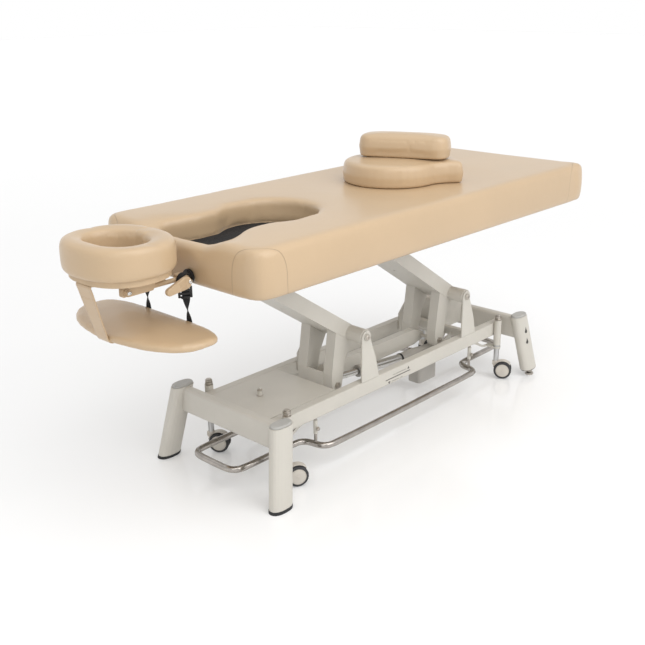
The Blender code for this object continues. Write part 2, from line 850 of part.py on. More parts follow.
NEAR_HUB = RAIL_OUT - BRACKET_T - RUN - ARM_NEAR
FAR_HUB = 0.0170
TOP_HUB = LUG_NEAR_Y - ARM_NEAR - RUN


def arm(pivot, with_plate):
    """Arm tube with its hub, upper pivot, two horns and their pin."""
    top = pivot + ARM_U * ARM_LENGTH
    half = ARM_DEPTH / 2

    def stadium(radius):
        start = atan2(ARM_V.z, ARM_V.x)
        lower = arc((pivot.x, pivot.z), radius, start, start - pi, 6)
        upper = arc((top.x, top.z), radius, start - pi, start - 2 * pi, 6)
        return lower + upper

    tube_part = prism(stadium(half), "y", -ARM_NEAR, ARM_FAR)
    hub = turned([
        (-ARM_NEAR - NEAR_HUB - BRACKET_T - 2 * RUN - HEAD_T, HEAD_R),
        (-ARM_NEAR - NEAR_HUB - BRACKET_T - 2 * RUN, HEAD_R),
        (-ARM_NEAR - NEAR_HUB - BRACKET_T - 2 * RUN, SHAFT_R),
        (-ARM_NEAR - NEAR_HUB, SHAFT_R), (-ARM_NEAR - NEAR_HUB, HUB_R),
        (ARM_FAR + FAR_HUB, HUB_R), (ARM_FAR + FAR_HUB, SHAFT_R),
        (ARM_FAR + FAR_HUB + BRACKET_T + 2 * RUN, SHAFT_R),
        (ARM_FAR + FAR_HUB + BRACKET_T + 2 * RUN, HEAD_R),
        (ARM_FAR + FAR_HUB + BRACKET_T + 2 * RUN + HEAD_T, HEAD_R),
    ], (pivot.x, 0, pivot.z), (0, 1, 0), 18)
    upper = turned([
        (-LUG_NEAR_Y - LUG_PLATE_T - RUN - HEAD_T, HEAD_R), (-LUG_NEAR_Y - LUG_PLATE_T - RUN, HEAD_R),
        (-LUG_NEAR_Y - LUG_PLATE_T - RUN, SHAFT_R), (-LUG_NEAR_Y + RUN, SHAFT_R), (-LUG_NEAR_Y + RUN, HUB_TOP_R),
        (LUG_FAR_Y - RUN, HUB_TOP_R), (LUG_FAR_Y - RUN, SHAFT_R), (LUG_FAR_Y + LUG_PLATE_T + RUN, SHAFT_R),
        (LUG_FAR_Y + LUG_PLATE_T + RUN, HEAD_R), (LUG_FAR_Y + LUG_PLATE_T + RUN + HEAD_T, HEAD_R),
    ], (top.x, 0, top.z), (0, 1, 0), 14)

    pin = pivot + Vector((-HORN_BACK, 0, -HORN_DROP))
    root = pivot + ARM_U * HORN_ROOT - ARM_V * (half - WELD * 4)
    heel = pivot - ARM_U * HORN_ROOT_BACK - ARM_V * (half - WELD * 6)
    front = (pivot.x - HORN_FRONT, pivot.z - HORN_FRONT_DROP)
    waist = (pivot.x - HORN_WAIST, pivot.z - HORN_WAIST_DROP)
    outline = [(root.x, root.z), front]
    outline += arc((pin.x, pin.z), HORN_EYE_R, radians(182), radians(352), 8)
    outline += [waist, (heel.x, heel.z)]
    near = prism(outline, "y", -ARM_NEAR + HORN_INSET, -ARM_NEAR + HORN_INSET + HORN_T)
    far = prism(outline, "y", HORN_FAR_IN, ARM_FAR - HORN_INSET)
    rod = turned([(-ARM_NEAR + 2 * HORN_INSET, PIN_R), (ARM_FAR - 2 * HORN_INSET, PIN_R)],
                 (pin.x, 0, pin.z), (0, 1, 0), 16)
    add(tube_part, hub, upper, near, far, rod)
    if with_plate:
        level = pin.z + WELD
        low_x = pin.x - PLATE_CLEAR - PLATE_T
        wall = prism([
            (low_x, level - PLATE_H / 2), (low_x + PLATE_T, level - PLATE_H / 2),
            (low_x + PLATE_T, level + PLATE_H), (low_x, level + PLATE_H),
        ], "y", -ARM_NEAR + HORN_INSET + HORN_T - WELD, HORN_FAR_IN + WELD)
        add(tube_part, wall)
    cavity = prism(stadium(half - ARM_WALL), "y", -ARM_NEAR + ARM_WALL, ARM_FAR - ARM_WALL)
    cut(tube_part, cavity)
    vent = pivot + ARM_U * (ARM_LENGTH / 2)
    below = vent - ARM_V * (half + OVERRUN)
    hole = turned([(0, ARM_VENT_R), (ARM_WALL + 2 * OVERRUN, ARM_VENT_R)], below, ARM_V, 12)
    return cut(tube_part, hole)


def link_bar():
    left, right = HORN_PIN.x, HORN_PIN.x + PIVOT_STEP
    level = HORN_PIN.z
    outline = arc((left, level), LINK_EYE_R, radians(90), radians(270), 10)
    outline += [(left + LINK_TAPER, level - LINK_DOWN), (right - LINK_TAPER, level - LINK_DOWN)]
    outline += arc((right, level), LINK_EYE_R, radians(-90), radians(90), 10)
    outline += [(right - LINK_TAPER, level + LINK_UP), (left + LINK_TAPER, level + LINK_UP)]
    bar = prism(outline, "y", -LINK_NEAR, LINK_FAR)
    for place in (left, right):
        drill(bar, (place, level), "y", PIN_R + RUN, -LINK_NEAR - OVERRUN, LINK_FAR + OVERRUN, 20)
    return bar


ACT_EYE = Vector((HORN_PIN.x, -ACT_Y, HORN_PIN.z - EYE_SAG))
ACT_TAIL = Vector((ACT_TAIL_X, -ACT_Y, ACT_TAIL_Z))
ACT_WAY = (ACT_TAIL - ACT_EYE).normalized()
ACT_UP = Vector((-ACT_WAY.z, 0, ACT_WAY.x))
ACT_SPAN = (ACT_TAIL - ACT_EYE).length


def actuator_rod():
    rod = turned([(EYE_R - WELD * 2, ROD_R), (ROD_REACH, ROD_R)], ACT_EYE, ACT_WAY, 20)
    eye = turned([(-EYE_W / 2, EYE_R), (EYE_W / 2, EYE_R)], ACT_EYE, (0, 1, 0), 20)
    add(eye, rod)
    return drill(
        eye, (ACT_EYE.x, ACT_EYE.z), "y", EYE_BORE_R, -ACT_Y - EYE_W / 2 - OVERRUN, -ACT_Y + EYE_W / 2 + OVERRUN, 20
    )


def actuator():
    """Guide tube with its collar and blind bore, motor housing and tail."""
    collar_end = COLLAR_AT + COLLAR_L
    guide_end = collar_end + GUIDE_L
    bell_end = guide_end + BELL_L
    bore = ROD_R + RUN
    body_part = turned([
        (COLLAR_AT + BORE_DEPTH, bore), (COLLAR_AT, bore), (COLLAR_AT, COLLAR_R), (collar_end, COLLAR_R),
        (collar_end, GUIDE_R), (guide_end, GUIDE_R), (bell_end, BELL_R), (ACT_SPAN - TAIL_R * 3, BELL_R),
        (ACT_SPAN - TAIL_R * 1.3, TAIL_R * 0.98),
        (ACT_SPAN - TAIL_R / 2, TAIL_R * 0.98),
    ], ACT_EYE, ACT_WAY, 20)
    tail = turned([(-TAIL_W / 2, TAIL_R), (TAIL_W / 2, TAIL_R)], ACT_TAIL, (0, 1, 0), 20)
    start = ACT_EYE + ACT_WAY * (bell_end + BELL_L / 2)
    low_x = start.x
    high_x = low_x + MOTOR_L
    motor_top = ACT_TAIL.z + MOTOR_W / 4
    section = rounded_box(
        low_x, high_x - MOTOR_ROUND, -ACT_Y - MOTOR_W / 2, -ACT_Y + MOTOR_W / 2, MOTOR_ROUND, 3
    )
    motor = prism(section, "z", motor_top - MOTOR_DROP - MOTOR_W / 2, motor_top)
    add(body_part, tail, motor)
    return drill(
        body_part, (ACT_TAIL.x, ACT_TAIL.z), "y", TAIL_PIN_R + RUN, -ACT_Y - TAIL_W / 2 - OVERRUN,
        -ACT_Y + TAIL_W / 2 + OVERRUN, 12
    )


def rear_mount():
    """Cross bar between the rails with the two lugs that hold the actuator's tail."""
    low = RAIL_Z + MOUNT_BAR_UP
    half = RAIL_IN - FIT
    section = rounded_box(MOUNT_BAR_X, MOUNT_BAR_X + MOUNT_BAR_W, low, low + MOUNT_BAR_H, RAIL_ROUND, 2)
    bar = prism(section, "y", -half, half)
    outline = arc((ACT_TAIL.x, ACT_TAIL.z), TAIL_R, radians(95), radians(265), 8)
    outline += [(MOUNT_BAR_X + WELD, low - TAIL_R), (MOUNT_BAR_X + MOUNT_BAR_W / 2, low + WELD),
                (MOUNT_BAR_X + WELD, low + MOUNT_BAR_H / 2)]
    gap = TAIL_W / 2 + FIT
    near = prism(outline, "y", -ACT_Y - gap - LUG_T, -ACT_Y - gap)
    far = prism(outline, "y", -ACT_Y + gap, -ACT_Y + gap + LUG_T)
    pin = turned([(-gap - LUG_T / 2, TAIL_PIN_R), (gap + LUG_T / 2, TAIL_PIN_R)], ACT_TAIL, (0, 1, 0), 12)
    return add(bar, near, far, pin)


def control_box():
    high_y = RAIL_IN - FIT
    section = rounded_box(BOX_X, BOX_X + BOX_L, high_y - BOX_W, high_y, BOX_ROUND, 3)
    inner = drawn_in(section, BOX_ROUND / 2)
    high = BOX_Z + BOX_H
    case = loft([
        [(*spot, BOX_Z) for spot in section], [(*spot, high - BOX_ROUND / 2) for spot in section],
        [(*spot, high) for spot in inner],
    ])
    middle = high_y - BOX_W / 2
    low = BOX_Z + INLET_UP
    recess = prism(
        rounded_box(middle - INLET_W / 2, middle + INLET_W / 2, low, low + INLET_H, RAIL_ROUND, 2),
        "x", BOX_X + BOX_L - INLET_D, BOX_X + BOX_L + OVERRUN
    )
    return cut(case, recess)


# Casters and foot-control bar

def carrier(side):
    """Plate under a rail that lowers both casters of that side, with an ear round each stem."""
    top = RAIL_Z - CARRIER_GAP
    low = top - CARRIER_H
    start = CASTER_X - CARRIER_BEND
    fall = top - EAR_TOP
    reach = CASTER_X + EAR_L / 2
    upper = []
    lower = []
    for step in range(9):
        share = step / 8
        place = start + (CARRIER_BEND - EAR_L / 2) * share
        ease = (1 - cos(pi * share)) / 2
        upper.append((place, top - fall * ease))
        lower.append((place, low - (low - EAR_Z) * ease))
    upper.append((reach, EAR_TOP))
    lower.append((reach, EAR_Z))
    right = lower + list(reversed(upper))
    outline = right + [(-x, z) for x, z in reversed(right)]
    inner = RAIL_IN + CARRIER_GAP * 2
    near, far = sorted((side * inner, side * (inner + CARRIER_T)))
    plate = prism(outline, "y", near, far)
    for end in (-1, 1):
        ear = []
        for x, y in arc((CASTER_X, STEM_Y), EAR_R, radians(0), radians(180), 10):
            ear.append((end * x, side * y))
        ear += [(end * (CASTER_X - EAR_R), side * (inner + CARRIER_T / 2)),
                (end * (CASTER_X + EAR_R), side * (inner + CARRIER_T / 2))]
        add(plate, prism(ear, "z", EAR_Z + FIT, EAR_TOP - FIT))
        drill(plate, (end * CASTER_X, side * STEM_Y), "z", STEM_R + RUN, EAR_Z - OVERRUN, EAR_TOP + OVERRUN, 20)
    return plate


def fork(end, side, turn):
    """Stem with its two clips and the web between the wheels, turned to its heading."""
    stem_x, stem_y = end * CASTER_X, side * STEM_Y
    stem = turned([
        (STEM_BLOCK_Z - FORK_NECK * 0.4, STEM_R), (EAR_Z - RUN - CLIP_T, STEM_R), (EAR_Z - RUN - CLIP_T, CLIP_R),
        (EAR_Z - RUN, CLIP_R), (EAR_Z - RUN, STEM_R), (EAR_TOP + RUN, STEM_R), (EAR_TOP + RUN, CLIP_R),
        (EAR_TOP + RUN + CLIP_T, CLIP_R), (EAR_TOP + RUN + CLIP_T, STEM_R), (SOCKET_TOP + STEM_OUT, STEM_R),
    ], (stem_x, stem_y, 0), (0, 0, 1), 12)
    axle = WHEEL_R + WHEEL_CLEAR
    outline = arc((TRAIL, axle), FORK_EYE_R, radians(-150), radians(60), 8)
    outline += [(FORK_NECK, STEM_BLOCK_Z), (-FORK_NECK, STEM_BLOCK_Z), (-FORK_NECK, STEM_BLOCK_Z - FORK_NECK)]
    web = prism(outline, "y", -FORK_T / 2, FORK_T / 2)
    drill(web, (TRAIL, axle), "y", AXLE_R + RUN, -FORK_T / 2 - OVERRUN, FORK_T / 2 + OVERRUN, 14)
    web.data.transform(Matrix.Translation((stem_x, stem_y, 0)) @ Matrix.Rotation(turn, 4, "Z"))
    return add(stem, web)


def wheel_centre(end, side, turn):
    return Vector((
        end * CASTER_X + TRAIL * cos(turn), side * STEM_Y + TRAIL * sin(turn), WHEEL_R + WHEEL_CLEAR
    ))


def wheel(end, side, turn):
    """Twin wheel on one axle."""
    axis = (-sin(turn), cos(turn), 0)
    half = WHEEL_W / 2
    gap = WHEEL_GAP / 2
    edge = WHEEL_R - WHEEL_ROUND
    face_share = 0.72
    dish = WHEEL_ROUND / 3
    profile = [
        (-half + dish, WHEEL_R * face_share), (-half, WHEEL_R * face_share), (-half, edge),
        (-half + WHEEL_ROUND, WHEEL_R), (-gap, WHEEL_R), (-gap, AXLE_R),
    ]
    profile += [(-distance, radius) for distance, radius in reversed(profile)]
    return turned(profile, wheel_centre(end, side, turn), axis, 16)


def control_bar():
    """Closed loop of tube with four guide pins that run in the rails."""
    corners = []
    for end_x, end_y, order in ((1, -1, 1), (1, 1, -1), (-1, 1, 1), (-1, -1, -1)):
        trio = [
            (end_x * RING_SIDE_X, end_y * RING_SIDE_Y, RING_Z),
            (end_x * RING_SIDE_X, end_y * RING_END_Y, RING_Z),
            (end_x * RING_END_X, end_y * RING_END_Y, RING_Z),
        ]
        corners += trio if order > 0 else reversed(trio)
    ring = pipe(bent_path(corners, RING_BEND, 3), RING_R, 8)
    for end in (-1, 1):
        for side in (-1, 1):
            place = (end * RING_SIDE_X, side * RING_PIN_Y, RING_Z)
            add(ring, turned([(0, RING_PIN_R), (RAIL_Z - RING_Z + RING_PIN_IN, RING_PIN_R)], place, (0, 0, 1), 8))
    return ring


# Tabletop

def top_rail(side):
    low_y, high_y = side * FRAME_Y - FRAME_W / 2, side * FRAME_Y + FRAME_W / 2
    start, end = TOP_HEAD + FRAME_HEAD_IN, TOP_FOOT - FRAME_FOOT_IN
    section = rounded_box(low_y, high_y, FRAME_Z, FRAME_Z + FRAME_H, RAIL_ROUND, 2)
    bore = rounded_box(
        low_y + TUBE_WALL, high_y - TUBE_WALL, FRAME_Z + TUBE_WALL, FRAME_Z + FRAME_H - TUBE_WALL,
        RAIL_ROUND - TUBE_WALL, 2
    )

    def loop(spots, level):
        return [along("x", spot, level) for spot in spots]

    return tube(loop(section, start), loop(section, end), loop(bore, start), loop(bore, end))


def top_cross(pivot):
    """Cross member between the long tubes, with the lugs of one upper pivot."""
    half = FRAME_Y - FRAME_W / 2 - FIT
    section = rounded_box(
        pivot.x - CROSS_W / 2, pivot.x + CROSS_W / 2, FRAME_Z, FRAME_Z + FRAME_H, RAIL_ROUND, 2
    )
    bar = prism(section, "y", -half, half)
    top = FRAME_Z + WELD * 2
    outline = arc((pivot.x, pivot.z), LUG_BELOW, radians(180), radians(360), 10)
    outline += [(pivot.x + CROSS_W / 2 - WELD, top), (pivot.x - CROSS_W / 2 + WELD, top)]
    near = prism(outline, "y", -LUG_NEAR_Y - LUG_PLATE_T, -LUG_NEAR_Y)
    far = prism(outline, "y", LUG_FAR_Y, LUG_FAR_Y + LUG_PLATE_T)
    add(bar, near, far)
    drill(bar, (pivot.x, pivot.z), "y", SHAFT_R + RUN, -LUG_NEAR_Y - LUG_PLATE_T - OVERRUN, -LUG_NEAR_Y + OVERRUN)
    return drill(bar, (pivot.x, pivot.z), "y", SHAFT_R + RUN, LUG_FAR_Y - OVERRUN, LUG_FAR_Y + LUG_PLATE_T + OVERRUN)


def top_outline(inset):
    half = TOP_WIDTH / 2 - inset
    head, foot = TOP_CORNER - inset, TOP_CORNER_FOOT - inset
    quarter = pi / 2
    corners = (
        ((TOP_FOOT - inset - foot, half - foot), foot, 0),
        ((TOP_HEAD + inset + head, half - head), head, quarter),
        ((TOP_HEAD + inset + head, head - half), head, 2 * quarter),
        ((TOP_FOOT - inset - foot, foot - half), foot, 3 * quarter),
    )
    return [spot for centre, radius, start in corners for spot in arc(centre, radius, start, start + quarter, 5)]


def keyhole(inset):
    """The cut-out about its own centre, head end toward -X."""
    end = TOP_HEAD + HOLE_END_IN + inset - (TOP_HEAD + HOLE_AT)
    radius = HOLE_R - inset
    waist = HOLE_WAIST - inset
    flare = HOLE_FLARE - inset
    corner = HOLE_END_ROUND
    meet = asin((HOLE_WAIST + (HOLE_R - HOLE_WAIST) * 0.38) / HOLE_R)
    spots = arc((0, 0), radius, -pi + meet, pi - meet, 26)
    leave = -spots[-1][0]
    upper = [
        (-leave - (HOLE_WAIST_AT - leave) * share, waist + (spots[-1][1] - waist) * rest_share)
        for share, rest_share in ((0.24, 0.26), (0.55, 0.06), (1.0, 0))
    ]
    upper += [
        (-HOLE_WAIST_AT + (end + corner + HOLE_WAIST_AT) * share, waist + (flare - waist) * rise_share)
        for share, rise_share in ((0.33, 0.18), (0.63, 0.53))
    ]
    upper += arc((end + corner, flare - corner), corner, pi / 2, pi, 3)
    lower = [(x, -y) for x, y in reversed(upper)]
    return spots + upper + lower


def directions():
    """Angles about the keyhole's centre that suit both outlines."""
    centre = TOP_HEAD + HOLE_AT
    half = TOP_WIDTH / 2
    turns = set()
    for x, y in top_outline(0):
        turns.add(round(atan2(y, x - centre), 5))
    for x, y in keyhole(0)[27:]:
        turns.add(round(atan2(y, x), 5))
    for share in (0.12, 0.28, 0.45, 0.62, 0.80):
        place = centre + (TOP_FOOT - TOP_CORNER_FOOT - centre) * share
        turns.add(round(atan2(half, place - centre), 5))
        turns.add(round(atan2(-half, place - centre), 5))
    for share in (0, 0.3, 0.62):
        turns.add(round(atan2(half * share, TOP_FOOT - centre), 5))
        turns.add(round(atan2(-half * share, TOP_FOOT - centre), 5))
    for share in (0.30, 0.66, 1.0):
        place = (TOP_CORNER - HOLE_AT) * share
        turns.add(round(atan2(half, place), 5))
        turns.add(round(atan2(-half, place), 5))
    turns.add(round(pi, 5))
    ordered = sorted(turns)
    spaced = [ordered[0]]
    for turn in ordered[1:]:
        if turn - spaced[-1] > radians(1.1):
            spaced.append(turn)
    return spaced


def about_hole(outline, shrink):
    """An outline about the keyhole's centre, sampled where the cushion is, a little smaller."""
    centre = TOP_HEAD + HOLE_AT
    spots = []
    for turn in directions():
        reach = polar(outline, turn) - shrink
        spots.append((centre + reach * cos(turn), reach * sin(turn)))
    return spots


def deck():
    centre = TOP_HEAD + HOLE_AT
    inside = [(x - centre, y) for x, y in top_outline(SKIRT_T)]
    board = prism(about_hole(inside, DECK_GAP), "z", DECK_Z, DECK_TOP)
    opening = prism([(centre + x, y) for x, y in keyhole(-LINING_GAP)], "z", DECK_Z - OVERRUN, DECK_TOP + OVERRUN)
    return cut(board, opening)


def tabletop_cushion():
    """Padded slab with a hanging skirt and the keyhole through its foam."""
    centre = TOP_HEAD + HOLE_AT
    turns = directions()

    def ring(outline, level, shift=0):
        moved = [(x - shift, y) for x, y in outline]
        return [
            (centre + polar(moved, turn) * cos(turn), polar(moved, turn) * sin(turn), level) for turn in turns
        ]

    def blend(first, second, share, rise):
        spots = []
        for low, high in zip(first, second):
            spots.append(tuple(low[axis] + (high[axis] - low[axis]) * share for axis in (0, 1)) + (rise,))
        return spots

    hole = keyhole(0)
    rim = keyhole(-HOLE_RIM)
    outer = top_outline(0)
    flat = top_outline(EDGE_ROUND)
    skirt = top_outline(SKIRT_T)
    crown = TOP_Z
    loops = [ring(hole, FOAM_Z), ring(hole, crown - HOLE_RIM)]
    loops.append(ring(keyhole(-HOLE_RIM * 0.3), crown - HOLE_RIM * 0.3))
    loops.append(ring(rim, crown))
    inner_edge = ring(rim, crown)
    outer_edge = ring(flat, crown, centre)
    loops.append(blend(inner_edge, outer_edge, 0.5, crown))
    loops.append(outer_edge)
    for draw, climb in reversed(round_shares(3)[:-1]):
        inset = SIDE_BULGE * 0.4 + (EDGE_ROUND - SIDE_BULGE * 0.4) * draw
        loops.append(ring(top_outline(inset), crown - EDGE_ROUND + EDGE_ROUND * climb, centre))
    middle = (TOP_Z + SKIRT_Z) / 2
    loops.append(ring(outer, middle, centre))
    loops.append(ring(top_outline(SIDE_BULGE * 0.5), SKIRT_Z + SKIRT_ROUND, centre))
    loops.append(ring(top_outline(SKIRT_ROUND * 0.6), SKIRT_Z + SKIRT_ROUND * 0.3, centre))
    loops.append(ring(top_outline(SKIRT_ROUND), SKIRT_Z, centre))
    loops.append(ring(skirt, SKIRT_Z, centre))
    loops.append(ring(skirt, FOAM_Z, centre))
    lowered = []
    for loop in loops:
        spots = []
        for x, y, z in loop:
            beside = max(0, min(1, (DIP_NONE_Y - abs(y)) / (DIP_NONE_Y - DIP_FULL_Y)))
            ahead = max(0, min(1, (TOP_HEAD + DIP_NONE_X - x) / (DIP_NONE_X - DIP_FULL_X)))
            share = beside * beside * (3 - 2 * beside) * ahead * ahead * (3 - 2 * ahead)
            rise = max(0, (z - middle) / (TOP_Z - middle))
            spots.append((x, y, z - BAR_DIP * share * rise if z > FOAM_Z else z))
        lowered.append(spots)
    slab = loft(lowered, ring=True)
    for side in (-1, 1):
        drill(
            slab, (side * CRADLE_Y, CRADLE_Z), "x", SOCKET_BODY_R + FIT, TOP_HEAD - OVERRUN,
            TOP_HEAD + SKIRT_T + OVERRUN, 16
        )
    return slab


def cutout_floor():
    centre = TOP_HEAD + HOLE_AT
    return prism([(centre + x, y) for x, y in keyhole(FLOOR_GAP)], "z", DECK_Z, DECK_Z + FLOOR_T)


def cradle_socket(side):
    """Flanged bush in the head face that reaches back to the head cross member."""
    face = TOP_HEAD - FIT
    back = HEAD_TOP.x - CROSS_W / 2 - FIT
    bore = CRADLE_ROD_R + RUN
    return loft([
        [along("x", spot, level) for spot in circle((side * CRADLE_Y, CRADLE_Z), radius, 20)]
        for level, radius in (
            (face - SOCKET_FLANGE_T, SOCKET_FLANGE_R), (face, SOCKET_FLANGE_R), (face, SOCKET_BODY_R),
            (back, SOCKET_BODY_R), (back, bore), (face - SOCKET_FLANGE_T, bore),
        )
    ], ring=True)


# Face cradle

BOLT = Vector((TOP_HEAD - BOLT_OUT, 0, BOLT_Z))
CLAMP_X = TOP_HEAD - SOCKET_FLANGE_T - CLAMP_OUT
LEVER_PIVOT = Vector((CLAMP_X + CLAMP_L * 0.1, 0, CRADLE_Z))
BLOCK_OUT_Y = CRADLE_Y + CRADLE_BLOCK_W / 2
CLAMP_FACE = CRADLE_Y + CLAMP_W / 2


def cradle_base():
    """Two rods with a tie bar, end blocks with the tilt bolts, and the clamp block."""
    rods = []
    for side in (-1, 1):
        rods.append(turned(
            [(0, CRADLE_ROD_R), (ROD_IN - TOP_HEAD + BOLT.x + BOLT_OUT * 2 - OVERRUN, CRADLE_ROD_R)],
            (BOLT.x, side * CRADLE_Y, CRADLE_Z), (1, 0, 0), 12
        ))
        block = prism(
            rounded_box(BOLT.x - CRADLE_BLOCK_L / 2, BOLT.x + CRADLE_BLOCK_L / 2, BOLT.z - CRADLE_BLOCK_H / 2,
                        BOLT.z + CRADLE_BLOCK_H / 2, RAIL_ROUND, 2),
            "y", side * CRADLE_Y - CRADLE_BLOCK_W / 2, side * CRADLE_Y + CRADLE_BLOCK_W / 2
        )
        start = BLOCK_OUT_Y - WELD
        bolt = turned([
            (0, BOLT_R), (WELD + CHEEK_T + 2 * RUN, BOLT_R), (WELD + CHEEK_T + 2 * RUN, HEAD_R * 0.7),
            (WELD + CHEEK_T + 2 * RUN + HEAD_T, HEAD_R * 0.7),
        ], (BOLT.x, side * start, BOLT.z), (0, side, 0), 12)
        rods += [block, bolt]
    tie_x = TOP_HEAD - TIE_OUT
    rods.append(prism(
        rounded_box(tie_x - TIE_W / 2, tie_x + TIE_W / 2, CRADLE_Z - TIE_H / 2, CRADLE_Z + TIE_H / 2, TIE_H / 4, 2),
        "y", -CRADLE_Y, CRADLE_Y
    ))
    for side in (-1, 1):
        low_y, high_y = sorted((side * CLAMP_FACE, side * (CLAMP_FACE - CLAMP_W)))
        rods.append(prism(
            rounded_box(CLAMP_X - CLAMP_L / 2, CLAMP_X + CLAMP_L / 2, CRADLE_Z - CLAMP_H / 2,
                        CRADLE_Z + CLAMP_H / 2, RAIL_ROUND, 2),
            "y", low_y, high_y
        ))
    rods.append(turned([
        (0, BOLT_R), (WELD + LEVER_T + 2 * RUN, BOLT_R), (WELD + LEVER_T + 2 * RUN, HEAD_R * 0.6),
        (WELD + LEVER_T + 2 * RUN + HEAD_T / 2, HEAD_R * 0.6),
    ], (LEVER_PIVOT.x, -CLAMP_FACE + WELD, LEVER_PIVOT.z), (0, -1, 0), 12))
    return add(rods[0], *rods[1:])


def cam_lever():
    far = -CLAMP_FACE - RUN
    tip = (LEVER_PIVOT.x - LEVER_REACH, LEVER_PIVOT.z - LEVER_FALL)
    slope = atan2(-LEVER_FALL, -LEVER_REACH)
    outline = arc((LEVER_PIVOT.x, LEVER_PIVOT.z), LEVER_EYE_R, slope + radians(80), slope + radians(280), 10)
    outline += arc(tip, LEVER_TIP_R, slope - radians(80), slope + radians(80), 5)
    arm_part = prism(outline, "y", far - LEVER_T, far)
    return drill(
        arm_part, (LEVER_PIVOT.x, LEVER_PIVOT.z), "y", BOLT_R + RUN, far - LEVER_T - OVERRUN, far + OVERRUN, 14
    )


def face_half(turn, inner):
    """Half sizes of the face cushion's plan in one direction about the hole's centre."""
    hole = FACE_MID - FACE_HOLE_SHIFT
    if inner:
        spots = oval(FACE_HOLE_X, FACE_HOLE_Y, 72, 2.15)
        return polar(spots, turn)
    spots = [(x + FACE_MID - hole, y) for x, y in oval(FACE_X, FACE_Y, 72, 2.3)]
    return polar(spots, turn)


def face_board():
    """Platform under the face cushion with the two cheeks that hang on the tilt bolts."""
    hole = FACE_MID - FACE_HOLE_SHIFT
    outer_low = []
    inner_low = []
    for step in range(36):
        turn = 2 * pi * step / 36
        outer = face_half(turn, False) - BOARD_INSET
        inner = face_half(turn, True) + BOARD_INSET / 3
        outer_low.append((hole + outer * cos(turn), outer * sin(turn)))
        inner_low.append((hole + inner * cos(turn), inner * sin(turn)))
    high = BOARD_Z + BOARD_T
    plate = tube(
        [(*spot, BOARD_Z) for spot in outer_low], [(*spot, high) for spot in outer_low],
        [(*spot, BOARD_Z) for spot in inner_low], [(*spot, high) for spot in inner_low],
    )
    start = BLOCK_OUT_Y + RUN
    rear = BOLT.x - CHEEK_R + CHEEK_L
    outline = arc((BOLT.x, BOLT.z), CHEEK_R, radians(90), radians(270), 8)
    outline += [(rear - CHEEK_R, BOLT.z - CHEEK_R), (rear, BOLT.z + CHEEK_R), (rear, BOARD_Z + WELD * 2),
                (BOLT.x + CHEEK_R, BOARD_Z + WELD * 2)]
    for side in (-1, 1):
        low_y, high_y = sorted((side * start, side * (start + CHEEK_T)))
        cheek = prism(outline, "y", low_y, high_y)
        add(plate, cheek)
        drill(plate, (BOLT.x, BOLT.z), "y", BOLT_R + RUN, low_y - OVERRUN, high_y + OVERRUN, 14)
    return plate


def face_cushion():
    """Horseshoe: one stuffed roll round the face opening, open toward the table."""
    hole = FACE_MID - FACE_HOLE_SHIFT
    low = BOARD_Z + BOARD_T + FIT
    high = low + FACE_H
    count = 40
    loops = []
    near_slit = FACE_SLIT / 2
    for step in range(count + 1):
        turn = 2 * pi * step / count
        inner = face_half(turn, True)
        outer = face_half(turn, False)
        start = Vector((hole + inner * cos(turn), inner * sin(turn)))
        end = Vector((hole + outer * cos(turn), outer * sin(turn)))
        if step in (0, count):
            slit = near_slit if step == 0 else -near_slit
            start.y = slit
            end.y = slit
        width = (end - start).length
        way = (end - start) / width
        fade = min(1, 0.80 + 0.2 * min(step, count - step) / 1.2)
        loop = []
        for part_share, climb_share in (
            (0.10, 0.0), (0.0, 0.14), (0.0, 0.50), (0.04, 0.72), (0.18, 0.93), (0.36, 1.0), (0.62, 1.0),
            (0.82, 0.93), (0.965, 0.74), (1.0, 0.52), (0.985, 0.50), (1.0, 0.47), (0.995, 0.16), (0.90, 0.0),
        ):
            spot = start + way * (width * part_share)
            rise = low + FACE_H * climb_share
            if climb_share > 0.9 and fade < 1:
                rise -= FACE_H * (1 - fade) * 0.35
            loop.append((spot.x, spot.y, min(rise, high)))
        loops.append(loop)
    return loft(loops)


# Armrest shelf

def shelf_outline():
    rear = TOP_HEAD - SHELF_GAP - SHELF_REAR
    spots = []
    for x, y in oval(1, SHELF_HALF, 32, 2.0):
        turn = atan2(y / SHELF_HALF, x)
        if cos(turn) >= 0:
            full, depth = 4.0, SHELF_REAR
        else:
            full, depth = 2.1, SHELF_FRONT
        a = abs(cos(turn)) ** (2 / full) * (1 if cos(turn) >= 0 else -1)
        b = abs(sin(turn)) ** (2 / full) * (1 if sin(turn) >= 0 else -1)
        spots.append((rear + depth * a, SHELF_HALF * b))
    return spots


def shelf():
    high = SHELF_Z + SHELF_CROWN
    return pad(shelf_outline(), high - SHELF_T, high, SHELF_T * 0.42, 0, SHELF_CROWN, 3, 0.6)


